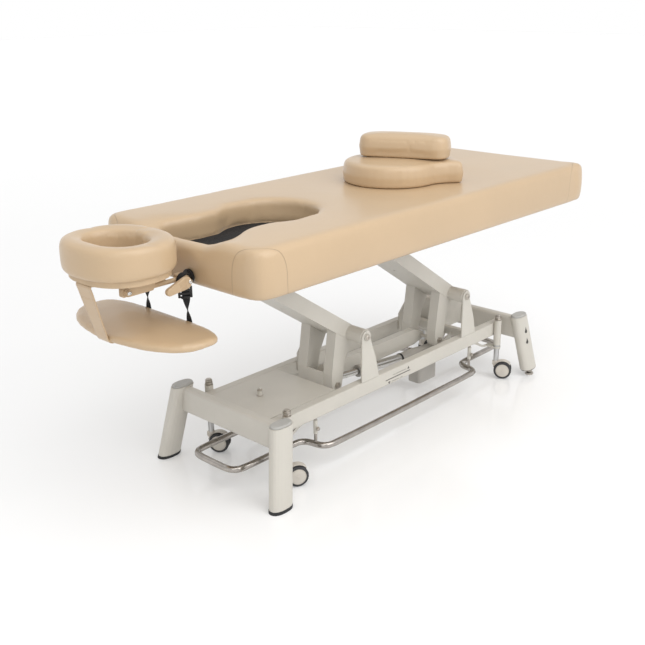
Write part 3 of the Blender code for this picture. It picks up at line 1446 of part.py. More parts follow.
def strap(side):
    """Webbing from the cradle rod to the shelf, with its buckle and one twist."""
    top_x, top_y = CLAMP_X, side * (CRADLE_Y + STRAP_W * 0.4)
    end_x, end_y = TOP_HEAD - SHELF_GAP + STRAP_T / 2 + FIT, side * (CRADLE_Y + STRAP_W * 1.4)
    high = CRADLE_Z - CLAMP_H / 2 - FIT
    low = SHELF_Z + SHELF_CROWN - SHELF_T / 2
    buckle_low = high - BUCKLE_H
    levels = [
        (high, BUCKLE_W / 2, BUCKLE_T / 2, 0), (buckle_low, BUCKLE_W / 2, BUCKLE_T / 2, 0),
        (buckle_low - BUCKLE_T / 4, STRAP_W / 2, STRAP_T / 2, 0),
    ]
    for step in range(1, 9):
        share = step / 8
        level = buckle_low - BUCKLE_T / 4 - (buckle_low - BUCKLE_T / 4 - low) * share
        levels.append((level, STRAP_W / 2 * (1 - 0.35 * sin(pi * share)), STRAP_T / 2, pi * 1.5 * min(share / 0.8, 1)))
    loops = []
    for level, half_w, half_t, turn in levels:
        share = (high - level) / (high - low)
        middle = (top_x + (end_x - top_x) * share, top_y + (end_y - top_y) * share)
        loop = []
        for a, b in ((-half_w, -half_t), (half_w, -half_t), (half_w, half_t), (-half_w, half_t)):
            loop.append((
                middle[0] + a * cos(turn) - b * sin(turn), middle[1] + a * sin(turn) + b * cos(turn), level
            ))
        loops.append(loop)
    return loft(loops)


def hanger():
    """Broad strap from the platform's front edge down over the shelf's front edge."""
    top_x = FACE_MID - FACE_X + BOARD_INSET + HANGER_T * 2
    shelf_x = TOP_HEAD - SHELF_GAP - SHELF_REAR - SHELF_FRONT - HANGER_T / 2 - FIT
    high = BOARD_Z - FIT
    low = SHELF_Z - SHELF_T + SHELF_CROWN - FIT
    bump = high - (high - low) * 0.22
    route = [
        (top_x, high), (top_x - HANGER_BUMP * 0.62, high - HANGER_BUMP * 0.5), (top_x - HANGER_BUMP, bump),
        (top_x - HANGER_BUMP * 0.86, bump - HANGER_BUMP), (shelf_x - HANGER_T, SHELF_Z + HANGER_BUMP * 1.2),
        (shelf_x, SHELF_Z), (shelf_x, low),
    ]
    left = []
    right = []
    for index, (x, z) in enumerate(route):
        before = Vector(route[max(index - 1, 0)])
        after = Vector(route[min(index + 1, len(route) - 1)])
        way = (after - before).normalized()
        normal = Vector((way.y, -way.x)) * (HANGER_T / 2)
        if index in (0, len(route) - 1):
            normal = Vector((HANGER_T / 2 if normal.x > 0 else -HANGER_T / 2, 0))
        left.append((x - normal.x, z - normal.y))
        right.append((x + normal.x, z + normal.y))
    outline = left + list(reversed(right))
    return prism(outline, "y", -HANGER_W / 2, HANGER_W / 2)


# Loose cushions

def placed(outline, centre, turn):
    return [
        (centre[0] + x * cos(turn) - y * sin(turn), centre[1] + x * sin(turn) + y * cos(turn)) for x, y in outline
    ]


INSERT_Z = TOP_Z + FIT
BLOCK_Z = INSERT_Z + INSERT_T + FIT


def insert_cushion():
    """Round cushion with a short neck, the filler of the keyhole."""
    start = asin((INSERT_WAIST + (INSERT_R - INSERT_WAIST) * 0.45) / INSERT_R)
    spots = arc((0, 0), INSERT_R, start, 2 * pi - start, 26)
    corner = INSERT_ROUND
    leave = spots[0]
    lower = [
        (leave[0] + (INSERT_WAIST_AT - leave[0]) * share, -INSERT_WAIST - (leave[1] - INSERT_WAIST) * rest_share)
        for share, rest_share in ((0.28, 0.40), (0.62, 0.10), (1.0, 0))
    ]
    lower += arc((INSERT_NECK - corner, -INSERT_NECK_W + corner), corner, -pi / 2, 0, 4)
    lower += [(INSERT_NECK, -INSERT_NECK_W / 3)]
    upper = [(x, -y) for x, y in reversed(lower)]
    outline = placed(spots + lower + upper, (INSERT_X, INSERT_Y), INSERT_TURN)
    return pad(outline, INSERT_Z, INSERT_Z + INSERT_T, PAD_EDGE, PAD_BULGE, PAD_CROWN)


def block_cushion():
    spots = rounded_box(-BLOCK_L / 2, BLOCK_L / 2, -BLOCK_W / 2, BLOCK_W / 2, BLOCK_ROUND, 5)
    outline = placed(spots, (BLOCK_X, BLOCK_Y), BLOCK_TURN)
    return pad(outline, BLOCK_Z, BLOCK_Z + BLOCK_T, PAD_EDGE, PAD_BULGE, PAD_CROWN)


# Assembly

def build():
    clear_scene()
    body("massage_table", (0, 0, 0))

    for side, word in ((-1, "near"), (1, "far")):
        piece("rail_" + word, rail(side), "massage_table", "cream_paint")
    for end, word in ((-1, "head"), (1, "foot")):
        piece("crossbar_" + word, crossbar(end), "massage_table", "cream_paint")
        for side, hand in ((-1, "near"), (1, "far")):
            piece("leg_" + word + "_" + hand, leg(end, side), "massage_table", "cream_paint")
            piece("leg_cap_" + word + "_" + hand, leg_cap(end, side), "massage_table", "grey_plastic")
    for side, hand in ((-1, "near"), (1, "far")):
        piece("shoe_" + hand, shoe(side), "massage_table", "dark_rubber")
        name = "level_axis_" + hand
        body(name, (*leg_centre(1, side, 0), 0), "massage_table")
        piece("levelling_foot_" + hand, levelling_foot(side), name, "steel")
    piece("tray", tray(), "massage_table", "cream_paint")
    for pivot, word in ((HEAD_PIVOT, "head"), (FOOT_PIVOT, "foot")):
        piece("bracket_" + word + "_near", near_bracket(pivot), "massage_table", "cream_paint")
        piece("bracket_" + word + "_far", far_bracket(pivot), "massage_table", "cream_paint")
    piece("actuator", actuator(), "massage_table", "grey_motor")
    piece("rear_mount", rear_mount(), "massage_table", "cream_paint")
    piece("control_box", control_box(), "massage_table", "pale_box")

    body("head_arm_axis", HEAD_PIVOT, "massage_table")
    piece("arm_head", arm(HEAD_PIVOT, True), "head_arm_axis", "cream_paint")
    body("foot_arm_axis", FOOT_PIVOT, "massage_table")
    piece("arm_foot", arm(FOOT_PIVOT, False), "foot_arm_axis", "cream_paint")
    body("link_axis", HORN_PIN, "head_arm_axis")
    piece("link_bar", link_bar(), "link_axis", "cream_paint")
    body("rod_slide", ACT_EYE, "massage_table")
    piece("actuator_rod", actuator_rod(), "rod_slide", "steel")

    body("top_axis", HEAD_TOP, "head_arm_axis")
    for side, hand in ((-1, "near"), (1, "far")):
        piece("top_rail_" + hand, top_rail(side), "top_axis", "cream_paint")
        piece("cradle_socket_" + hand, cradle_socket(side), "top_axis", "black_plastic")
    piece("top_cross_head", top_cross(HEAD_TOP), "top_axis", "cream_paint")
    piece("top_cross_foot", top_cross(FOOT_TOP), "top_axis", "cream_paint")
    piece("deck", deck(), "top_axis", "board")
    piece("tabletop_cushion", tabletop_cushion(), "top_axis", "beige_vinyl")
    piece("cutout_floor", cutout_floor(), "top_axis", "black_fabric")

    body("cradle_slide", (TOP_HEAD, 0, CRADLE_Z), "top_axis")
    piece("cradle_base", cradle_base(), "cradle_slide", "beige_plastic")
    body("lever_axis", LEVER_PIVOT, "cradle_slide")
    piece("cam_lever", cam_lever(), "lever_axis", "beige_plastic")
    body("face_axis", BOLT, "cradle_slide")
    piece("face_board", face_board(), "face_axis", "beige_plastic")
    piece("face_cushion", face_cushion(), "face_axis", "beige_vinyl", radians(50))
    body("shelf_slide", (TOP_HEAD, 0, SHELF_Z), "cradle_slide")
    piece("armrest_shelf", shelf(), "shelf_slide", "beige_vinyl", radians(50))
    piece("strap_near", strap(-1), "shelf_slide", "black_fabric")
    piece("strap_far", strap(1), "shelf_slide", "black_fabric")
    piece("strap_front", hanger(), "shelf_slide", "beige_vinyl")

    body("insert_rest", (INSERT_X, INSERT_Y, INSERT_Z), "top_axis")
    piece("insert_cushion", insert_cushion(), "insert_rest", "beige_vinyl", radians(50))
    body("block_rest", (BLOCK_X, BLOCK_Y, BLOCK_Z), "insert_rest")
    piece("block_cushion", block_cushion(), "block_rest", "beige_vinyl", radians(50))

    body("control_slide", (0, 0, RING_Z), "massage_table")
    piece("control_bar", control_bar(), "control_slide", "steel")

    for side, hand, turns in (
        (-1, "near", (SWIVEL_NEAR_HEAD, SWIVEL_NEAR_FOOT)), (1, "far", (SWIVEL_FAR_HEAD, SWIVEL_FAR_FOOT))
    ):
        slide = "carrier_slide_" + hand
        body(slide, (0, side * RAIL_IN, EAR_TOP), "massage_table")
        piece("carrier_" + hand, carrier(side), slide, "cream_paint")
        for end, word, turn in ((-1, "head", turns[0]), (1, "foot", turns[1])):
            key = word + "_" + hand
            body("swivel_" + key, (end * CASTER_X, side * STEM_Y, EAR_TOP), slide)
            piece("fork_" + key, fork(end, side, turn), "swivel_" + key, "steel")
            body("spin_" + key, wheel_centre(end, side, turn), "swivel_" + key)
            piece("wheel_" + key, wheel(end, side, turn), "spin_" + key, "dark_rubber")
    bpy.context.view_layer.update()


if __name__ == "__main__":
    build()
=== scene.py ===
"""Dressing of the electric massage table: upholstery, casters, fixings, finishes and studio."""

import math

import bmesh
import bpy
from mathutils import Matrix, Vector


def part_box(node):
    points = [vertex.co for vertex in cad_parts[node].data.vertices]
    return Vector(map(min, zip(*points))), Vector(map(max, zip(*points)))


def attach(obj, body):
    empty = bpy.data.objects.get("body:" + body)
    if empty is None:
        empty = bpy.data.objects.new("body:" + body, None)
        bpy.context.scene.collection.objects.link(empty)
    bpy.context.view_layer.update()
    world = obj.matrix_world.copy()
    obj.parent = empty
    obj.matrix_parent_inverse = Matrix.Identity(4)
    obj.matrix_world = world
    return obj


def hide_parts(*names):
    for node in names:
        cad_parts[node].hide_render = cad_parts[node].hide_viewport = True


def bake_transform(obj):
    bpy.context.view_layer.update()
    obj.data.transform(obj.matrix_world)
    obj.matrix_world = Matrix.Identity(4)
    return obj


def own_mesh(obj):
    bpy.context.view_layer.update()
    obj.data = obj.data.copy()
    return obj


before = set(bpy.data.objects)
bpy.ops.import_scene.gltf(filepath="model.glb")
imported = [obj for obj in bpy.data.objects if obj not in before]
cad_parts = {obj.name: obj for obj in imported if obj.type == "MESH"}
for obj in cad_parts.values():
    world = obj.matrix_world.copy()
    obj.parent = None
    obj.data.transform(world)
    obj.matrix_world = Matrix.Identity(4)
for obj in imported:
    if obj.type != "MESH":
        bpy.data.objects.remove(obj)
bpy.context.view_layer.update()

bl_info = {
    "name": "Massage table dressing",
    "version": (1, 0, 0),
    "blender": (4, 5, 0),
    "location": "3D View > Sidebar > Massage table",
    "description": "Upholstery, casters, fixings, finishes and studio of an electric massage table",
    "category": "Object",
}

# Places taken from the frame
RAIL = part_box("rail_near")
SHIFT = (RAIL[0].x + RAIL[1].x) / 2
RAIL_TOP = 0.246
RAIL_FACE = RAIL[1].y - 0.035
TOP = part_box("tabletop_cushion")
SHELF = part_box("armrest_shelf")
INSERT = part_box("insert_cushion")
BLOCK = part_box("block_cushion")
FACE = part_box("face_cushion")
TOP_CORNER = 0.085
FOAM_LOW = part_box("deck")[1].z + 0.0003
CRADLE_Y = 0.076
CRADLE_Z = 0.784
# The corner seams: where their arches spring, how high and half how wide they are, and how square
SEAM_FOOT, SEAM_RISE, SEAM_HALF, SEAM_POWER = 0.800, 0.126, 0.113, 2.6
LIFT_PIVOTS = {"head_arm": Vector((-0.05125, 0, 0.417)), "foot_arm": Vector((0.57375, 0, 0.417))}
ARM_ANGLE = math.radians(33.6)
ARM_REACH = Vector((-math.cos(ARM_ANGLE), 0, math.sin(ARM_ANGLE))) * 0.547
HORN_PIN = Vector((-0.073, 0, -0.185))
TILT_PIVOT = Vector((-0.98525, 0, 0.789))
LEVER_BOLT_X = -0.78635
CASTERS = {
    "head_near": (-1, -1, math.radians(-31.0)),
    "head_far": (-1, 1, math.radians(-56.0)),
    "foot_near": (1, -1, math.radians(-60.5)),
    "foot_far": (1, 1, math.radians(-10.0)),
}
STEM_X = 0.636
STEM_Y = 0.1973
TRAIL = 0.030
AXLE_Z = 0.039
NUTS_Z = 0.2636
LEVER_FACE = -0.1240
LEVER_THICK = 0.0130
DROP_RADIUS = 0.0082
SCREW_FEET_X = 0.92575
# How far below the platform the front strap folds when the face cushion tilts
FOLD_DEPTH = 0.041
# The actuator's rod eye and the way that its screw points
EYE = Vector((-0.285 + SHIFT, -0.040, 0.2292))
SCREW_WAY = Vector((0.99536, 0, -0.09619))
# Distances from the rod's eye at which the bright tube leaves its collar and enters its bell
TUBE_START, TUBE_END = 0.2121, 0.4569
# Height at which a caster's bright stem meets its moulded web
WEB_TOP = 0.0795
POST = Vector((-0.555 + SHIFT, 0.018, RAIL_TOP))
# Where the foot bar's guides stand, from the middle of the rails
GUIDE_X, GUIDE_Y = 0.470, 0.1695
# The camera, fitted to the photograph: focal length and width in its pixels, place, pitch, yaw and roll
FOCAL, PHOTO_WIDTH, SENSOR = 933.7199, 645, 36.0
CAMERA_PLACE = (-2.6096 + SHIFT, -2.2068, 1.5866)
CAMERA_ANGLES = (19.532, 43.0451, -0.6188)
SIDES = ((-1, "near"), (1, "far"))
# Frames that each cushion's simulation runs
SIM_FRAMES = 20


# Sizes and colours that a user would change

def colour(name, words, value):
    return bpy.props.FloatVectorProperty(
        name=name, description=words, subtype="COLOR", size=3, min=0.0, max=1.0, default=value
    )


def length(name, words, value):
    return bpy.props.FloatProperty(
        name=name, description=words, subtype="DISTANCE", unit="LENGTH", min=0.0, precision=4, default=value
    )


class MassageColours(bpy.types.PropertyGroup):
    """Colours of the table's finishes, as linear values."""

    vinyl: colour("Upholstery", "Cream vinyl of the cushions", (0.532, 0.384, 0.234))
    paint: colour("Powder coat", "Cream coat of the steel frame", (0.580, 0.553, 0.497))
    plastic: colour("Cradle plastic", "Beige plastic of the face cradle", (0.550, 0.405, 0.255))
    cap: colour("Leg caps", "Grey plastic of the caps on the legs", (0.430, 0.425, 0.405))
    black: colour("Black plastic", "Sockets, buckles and rings", (0.006, 0.006, 0.007))
    webbing: colour("Webbing", "Black webbing and the cut-out's floor", (0.004, 0.004, 0.005))
    tread: colour("Treads", "Dark rubber of the wheels", (0.035, 0.035, 0.037))
    hub: colour("Hubs", "Pale plastic of the wheels and their hoods", (0.590, 0.550, 0.490))
    tube: colour("Foot bar", "Stainless tube of the foot-control bar", (0.42, 0.39, 0.36))
    zinc: colour("Zinc", "Plated nuts, bolts and screw feet", (0.50, 0.46, 0.41))
    motor: colour("Actuator", "Grey housing of the actuator", (0.40, 0.38, 0.35))
    board: colour("Deck", "Plywood under the foam", (0.50, 0.36, 0.22))
    mark: colour("Marks", "Thin direction marks on the rail", (0.040, 0.036, 0.032))


class MassageSizes(bpy.types.PropertyGroup):
    """Sizes of what the dressing adds."""

    top_voxel: length("Top mesh", "Mesh size of the tabletop's upholstery", 0.0085)
    pad_voxel: length("Pad mesh", "Mesh size of the smaller cushions", 0.0048)
    swell: length("Swell", "How far a cushion's cover may stand proud", 0.0042)
    grain: length("Grain", "Size of the vinyl's grain", 0.0011)
    webbing_width: length("Webbing", "Width of the black straps", 0.025)
    webbing_thick: length("Webbing thickness", "Thickness of the black straps", 0.0016)
    hanger_width: length("Front strap", "Width of the broad vinyl strap at its top", 0.072)
    hanger_thick: length("Front strap thickness", "Thickness of the broad strap", 0.0036)
    pressure: bpy.props.FloatProperty(
        name="Filling", description="Pressure inside the cushions", min=0.0, max=20.0, default=4.0
    )


class MassageStudio(bpy.types.PropertyGroup):
    """Light of the studio."""

    sky: bpy.props.FloatProperty(name="Sky", description="Strength of the even light", min=0.0, default=1.0)
    key: bpy.props.FloatProperty(
        name="Key", description="Power of the large lamp", subtype="POWER", unit="POWER", min=0.0, default=66.0
    )
    fill: bpy.props.FloatProperty(
        name="Fill", description="Power of the lamp beside the camera", subtype="POWER", unit="POWER", min=0.0,
        default=66.0,
    )
    glow: bpy.props.FloatProperty(name="Floor glow", description="Light from the pale floor", min=0.0, default=0.27)
    floor: colour("Floor", "Pale floor", (0.74, 0.74, 0.74))


# Materials

class Wire:
    """One socket of a material's nodes, with arithmetic on it."""

    def __init__(self, book, socket):
        self.book = book
        self.socket = socket

    def _join(self, operation, other=None, turned=False):
        values = [self] if other is None else [self, other]
        if turned:
            values.reverse()
        return self.book.maths(operation, *values)

    def __add__(self, other):
        return self._join("ADD", other)

    def __sub__(self, other):
        return self._join("SUBTRACT", other)

    def __rsub__(self, other):
        return self._join("SUBTRACT", other, turned=True)

    def __mul__(self, other):
        return self._join("MULTIPLY", other)

    def __truediv__(self, other):
        return self._join("DIVIDE", other)

    def __pow__(self, other):
        return self._join("POWER", other)

    def __abs__(self):
        return self._join("ABSOLUTE")

    __radd__ = __add__

    def least(self, other):
        return self._join("MINIMUM", other)

    def most(self, other):
        return self._join("MAXIMUM", other)

    def root(self):
        return self._join("SQRT")

    def wave(self):
        return self._join("SINE")

    def over(self, other):
        """1 where this is greater."""
        return self._join("GREATER_THAN", other)

    def eased(self, low, high):
        """0 at low, 1 at high, smooth between."""
        return self.book.node(
            "MapRange", {"Value": self, "From Min": low, "From Max": high}, interpolation_type="SMOOTHSTEP"
        )


class Book:
    """The nodes of one material."""

    def __init__(self, name):
        self.material = bpy.data.materials.new(name)
        self.material.use_nodes = True
        self.tree = self.material.node_tree
        self.shader = self.tree.nodes["Principled BSDF"]
        self.place = self.node("TexCoord", output="Object")
        parts = self.tree.nodes.new("ShaderNodeSeparateXYZ")
        self.tree.links.new(self.place.socket, parts.inputs[0])
        self.x, self.y, self.z = (Wire(self, parts.outputs[axis]) for axis in "XYZ")

    def put(self, socket, value):
        if isinstance(value, Wire):
            self.tree.links.new(value.socket, socket)
        elif socket.type == "RGBA":
            socket.default_value = (*value[:3], 1)
        else:
            socket.default_value = value

    def node(self, kind, inputs=None, output=0, **settings):
        made = self.tree.nodes.new("ShaderNode" + kind)
        for name, value in settings.items():
            setattr(made, name, value)
        for name, value in (inputs or {}).items():
            self.put(made.inputs[name], value)
        return Wire(self, made.outputs[output])

    def maths(self, operation, *values):
        made = self.tree.nodes.new("ShaderNodeMath")
        made.operation = operation
        for socket, value in zip(made.inputs, values):
            self.put(socket, value)
        return Wire(self, made.outputs[0])

    def mixed(self, share, first, second):
        """First colour where share is 0, second where it is 1."""
        made = self.tree.nodes.new("ShaderNodeMix")
        made.data_type = "RGBA"
        self.put(made.inputs[0], share)
        self.put(made.inputs[6], first)
        self.put(made.inputs[7], second)
        return Wire(self, made.outputs[2])

    def noise(self, size, detail=2.0, rough=0.5, stretch=None):
        place = self.place
        if stretch:
            place = self.node("Mapping", {"Vector": self.place, "Scale": stretch})
        return self.node("TexNoise", {"Vector": place, "Scale": 1 / size, "Detail": detail, "Roughness": rough})

    def cells(self, size, feature="F1"):
        return self.node("TexVoronoi", {"Vector": self.place, "Scale": 1 / size}, output="Distance", feature=feature)

    def finish(self, base, rough, metallic=0.0, height=None, depth=0.001, edge=0.0, coat=0.0):
        """Joins colour, roughness, relief and softened edges to the shader."""
        self.put(self.shader.inputs["Base Color"], base)
        self.put(self.shader.inputs["Roughness"], rough)
        self.put(self.shader.inputs["Metallic"], metallic)
        if coat:
            self.put(self.shader.inputs["Coat Weight"], coat)
            self.put(self.shader.inputs["Coat Roughness"], 0.25)
        normal = None
        if edge:
            normal = self.node("Bevel", {"Radius": edge}, samples=4)
        if height is not None:
            inputs = {"Height": height, "Distance": depth, "Strength": 1.0}
            if normal is not None:
                inputs["Normal"] = normal
            normal = self.node("Bump", inputs)
        if normal is not None:
            self.put(self.shader.inputs["Normal"], normal)
        return self.material


def tint(value, share):
    return tuple(min(1.0, part * share) for part in value)


def corner_seam(book):
    """1 on the sewn arches that close the upholstery at the tabletop's four corners.

    deep is how far a point lies inside the rounded plan; an arch springs at SEAM_FOOT.
    """
    low, high = TOP
    across = high.y - abs(book.y)
    inward = (book.x - low.x).least(high.x - book.x)
    reach = (TOP_CORNER - inward).most(0.0)
    side = (TOP_CORNER - across).most(0.0)
    deep = (TOP_CORNER - (reach * reach + side * side).root()).most(0.0)
    climb = (book.z + deep - SEAM_FOOT).most(0.0) / SEAM_RISE
    turn = abs(inward - across) / SEAM_HALF
    arch = turn ** SEAM_POWER + climb ** SEAM_POWER
    line = 1.0 - (abs(arch - 1.0).eased(0.012, 0.042))
    return line * (1.0 - (inward.most(across)).eased(0.16, 0.18))


def vinyl(name, seams=False, stitch=None):
    """Soft satin vinyl with a fine grain, slow waves and worn highs."""
    palette = bpy.context.scene.massage_colours
    sizes = bpy.context.scene.massage_sizes
    book = Book(name)
    grain = book.cells(sizes.grain * 1.7, "SMOOTH_F1")
    fine = book.noise(sizes.grain * 0.6, 3.0, 0.6)
    wave = book.noise(0.11, 2.0, 0.45)
    cloud = book.noise(0.34, 3.0, 0.55)
    base = book.mixed(cloud.eased(0.30, 0.72), tint(palette.vinyl, 0.965), tint(palette.vinyl, 1.03))
    base = book.mixed(grain.eased(0.05, 0.75) * 0.20, base, tint(palette.vinyl, 0.86))
    rough = 0.40 + cloud * 0.12 + fine * 0.06
    height = grain * 0.10 + fine * 0.05 + wave * 1.1
    if seams:
        line = corner_seam(book)
        base = book.mixed(line * 0.40, base, tint(palette.vinyl, 0.45))
        height = height - line * 0.9
    if stitch:
        edge, pitch = stitch
        row = 1.0 - abs(abs(book.y) - edge).eased(0.0005, 0.0011)
        thread = row * ((book.z * (2 * math.pi / pitch)).wave()).over(-0.35)
        base = book.mixed(thread * 0.7, base, tint(palette.vinyl, 0.62))
        height = height - row * 0.30 + thread * 0.35
    return book.finish(base, rough, height=height, depth=0.0011, coat=0.6)


def powder_coat(name):
    """Cream powder coat: orange peel, faint clouds and a little grime low down."""
    palette = bpy.context.scene.massage_colours
    book = Book(name)
    peel = book.noise(0.0024, 2.0, 0.4)
    cloud = book.noise(0.16, 3.0, 0.6)
    speck = book.cells(0.013)
    base = book.mixed(cloud.eased(0.35, 0.70), tint(palette.paint, 0.97), tint(palette.paint, 1.02))
    dirt = (1.0 - book.z.eased(0.0, 0.16)) * cloud.eased(0.40, 0.75) * 0.16
    base = book.mixed(dirt, base, (0.33, 0.29, 0.24))
    base = book.mixed((1.0 - speck.eased(0.035, 0.055)) * 0.14, base, tint(palette.paint, 0.72))
    rough = 0.34 + peel * 0.10 + cloud * 0.08
    return book.finish(base, rough, height=peel, depth=0.00016, edge=0.0016)


def moulded(name, base_value, rough=0.42, edge=0.0010, grain=0.0008):
    """Moulded plastic with a spark-eroded grain."""
    book = Book(name)
    grit = book.noise(grain, 3.0, 0.65)
    cloud = book.noise(0.07, 2.0, 0.5)
    base = book.mixed(cloud.eased(0.3, 0.7), tint(base_value, 0.94), tint(base_value, 1.05))
    return book.finish(base, rough + grit * 0.12, height=grit, depth=0.00012, edge=edge)


def metal(name, base_value, rough, stretch=(30, 30, 4), edge=0.0006, marks=0.12):
    """Plated or drawn metal with fine lines and faint handling marks."""
    book = Book(name)
    lines = book.noise(0.010, 3.0, 0.7, stretch=stretch)
    smear = book.noise(0.030, 3.0, 0.6)
    base = book.mixed(smear.eased(0.30, 0.75), tint(base_value, 0.88), tint(base_value, 1.08))
    return book.finish(
        base, rough + smear * marks + lines * 0.06, metallic=1.0, height=lines, depth=0.00005, edge=edge
    )


def rubber(name, base_value):
    book = Book(name)
    grit = book.noise(0.0006, 3.0, 0.7)
    dust = book.noise(0.018, 3.0, 0.6)
    base = book.mixed(dust.eased(0.45, 0.80) * 0.5, base_value, tint(base_value, 2.6))
    return book.finish(base, 0.62 + grit * 0.18, height=grit, depth=0.00020)


def woven(name, base_value, pitch):
    """Plain weave: ribs along and across in relief, with painted sheen: the rib crests are lighter in colour;
    roughness varies in slow waves.
    """
    book = Book(name)
    warp = (book.x * (2 * math.pi / pitch)).wave()
    weft = (book.y * (2 * math.pi / pitch)).wave()
    rise = (book.z * (2 * math.pi / pitch)).wave()
    cloth = abs(warp * weft).most(abs(rise * (warp + weft)) * 0.5)
    wave = book.noise(0.05, 2.0, 0.5)
    # painted sheen: the weave's rib crests are made lighter than the dark threads
    base = book.mixed(cloth, base_value, tint(base_value, 2.8))
    return book.finish(base, 0.72 + wave * 0.15, height=cloth * 0.5 + wave * 1.5, depth=0.0005)


def plywood(name):
    palette = bpy.context.scene.massage_colours
    book = Book(name)
    rings = book.noise(0.05, 4.0, 0.6, stretch=(0.18, 1.6, 1.6))
    fibre = book.noise(0.004, 3.0, 0.7, stretch=(0.06, 1.0, 1.0))
    base = book.mixed(rings.eased(0.35, 0.65), palette.board, tint(palette.board, 0.72))
    base = book.mixed(fibre.eased(0.45, 0.75) * 0.5, base, tint(palette.board, 0.55))
    return book.finish(base, 0.62 + fibre * 0.15, height=fibre, depth=0.0003)


def stem_and_hood(name):
    """Bright stem above, pale moulded web below."""
    palette = bpy.context.scene.massage_colours
    book = Book(name)
    grit = book.noise(0.0009, 3.0, 0.6)
    bright = book.z.over(WEB_TOP)
    base = book.mixed(bright, palette.hub, (0.56, 0.56, 0.56))
    rough = 0.44 - bright * 0.20 + grit * 0.10
    return book.finish(base, rough, metallic=bright, height=grit, depth=0.00010, edge=0.0008)


def actuator_finish(name):
    """Grey moulded housing, with the bright drawn tube between its collar and its bell."""
    palette = bpy.context.scene.massage_colours
    book = Book(name)
    along = (book.x - EYE.x) * SCREW_WAY.x + (book.z - EYE.z) * SCREW_WAY.z
    tube = along.over(TUBE_START) * (1.0 - along.over(TUBE_END))
    grit = book.noise(0.0011, 3.0, 0.65)
    cloud = book.noise(0.07, 2.0, 0.5)
    housing = book.mixed(cloud.eased(0.3, 0.7), tint(palette.motor, 0.94), tint(palette.motor, 1.05))
    base = book.mixed(tube, housing, (0.60, 0.59, 0.57))
    rough = 0.42 - tube * 0.20 + grit * 0.10
    return book.finish(base, rough, metallic=tube, height=grit, depth=0.00010, edge=0.0012)


def material(key):
    """One material of the table, made when it is first asked for."""
    name = "table_" + key
    found = bpy.data.materials.get(name)
    if found:
        return found
    palette = bpy.context.scene.massage_colours
    makers = {
        "vinyl": lambda: vinyl(name),
        "top_vinyl": lambda: vinyl(name, seams=True),
        "strap_vinyl": lambda: vinyl(name, stitch=(0.0265, 0.0038)),
        "paint": lambda: powder_coat(name),
        "cradle": lambda: moulded(name, palette.plastic, 0.40),
        "cap": lambda: moulded(name, palette.cap, 0.40, 0.0012),
        "black": lambda: moulded(name, palette.black, 0.34),
        "box": lambda: moulded(name, tint(palette.paint, 0.95), 0.45, 0.0014),
        "hub": lambda: moulded(name, palette.hub, 0.36, 0.0006),
        "tread": lambda: rubber(name, palette.tread),
        "shoe": lambda: rubber(name, tint(palette.tread, 0.55)),
        "webbing": lambda: woven(name, palette.webbing, 0.0017),
        "floor_cloth": lambda: woven(name, palette.webbing, 0.0026),
        "tube": lambda: metal(name, palette.tube, 0.13, stretch=(3, 3, 3), edge=0.0, marks=0.05),
        "zinc": lambda: metal(name, palette.zinc, 0.28),
        "chrome": lambda: metal(name, (0.62, 0.61, 0.59), 0.14, edge=0.0),
        "motor": lambda: actuator_finish(name),
        "collar": lambda: moulded(name, tint(palette.motor, 0.80), 0.36),
        "board": lambda: plywood(name),
        "caster": lambda: stem_and_hood(name),
        "mark": lambda: moulded(name, palette.mark, 0.50, 0.0),
    }
    return makers[key]()


# Modelling helpers

def clear_selection():
    if bpy.context.mode != "OBJECT":
        bpy.ops.object.mode_set(mode="OBJECT")
    bpy.ops.object.select_all(action="DESELECT")


def choose(item):
    clear_selection()
    item.select_set(True)
    bpy.context.view_layer.objects.active = item
    return item


def modify(item, kind, **settings):
    """Adds one modifier."""
    change = item.modifiers.new(kind.title(), kind)
    for name, value in settings.items():
        setattr(change, name, value)
    return change


def apply_modifiers(item):
    choose(item)
    for name in [change.name for change in item.modifiers]:
        bpy.ops.object.modifier_apply(modifier=name)


def place_in_mesh(item, matrix=None):
    """Puts the object's own place into its mesh, so that the object sits at the origin."""
    if matrix is not None:
        item.matrix_world = matrix @ item.matrix_world
        bpy.context.view_layer.update()
    choose(item)
    bpy.ops.object.transform_apply(location=True, rotation=True, scale=True)
    return item


def settle(item, name, key, body, angle=38, replaces=()):
    """Names a finished piece, gives it its material and hangs it on its body."""
    apply_modifiers(item)
    place_in_mesh(item)
    item.name = name
    item.data.name = name
    item.data.materials.clear()
    item.data.materials.append(material(key))
    if angle:
        bpy.ops.object.shade_smooth_by_angle(angle=math.radians(angle))
    if body:
        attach(item, body)
    for node in replaces:
        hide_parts(node)
    clear_selection()
    return item


def discard(*items):
    for item in items:
        bpy.data.objects.remove(item, do_unlink=True)


def shaped(item, kind, **settings):
    """Adds one modifier and applies it."""
    modify(item, kind, **settings)
    apply_modifiers(item)
    return item


def bevelled(item, width, segments=2, angle=30):
    return shaped(
        item, "BEVEL", width=width, segments=segments, limit_method="ANGLE", angle_limit=math.radians(angle)
    )


def pick_face(item, direction):
    """Selects, in edit mode, the faces furthest along a direction."""
    way = Vector(direction)
    bpy.ops.object.mode_set(mode="EDIT")
    bpy.ops.mesh.select_mode(type="FACE")
    bpy.ops.mesh.select_all(action="DESELECT")
    mesh = bmesh.from_edit_mesh(item.data)
    best = max(face.calc_center_median().dot(way) for face in mesh.faces)
    for face in mesh.faces:
        if face.calc_center_median().dot(way) > best - 1e-6 and face.normal.dot(way) > 0.5:
            face.select = True
    bmesh.update_edit_mesh(item.data)


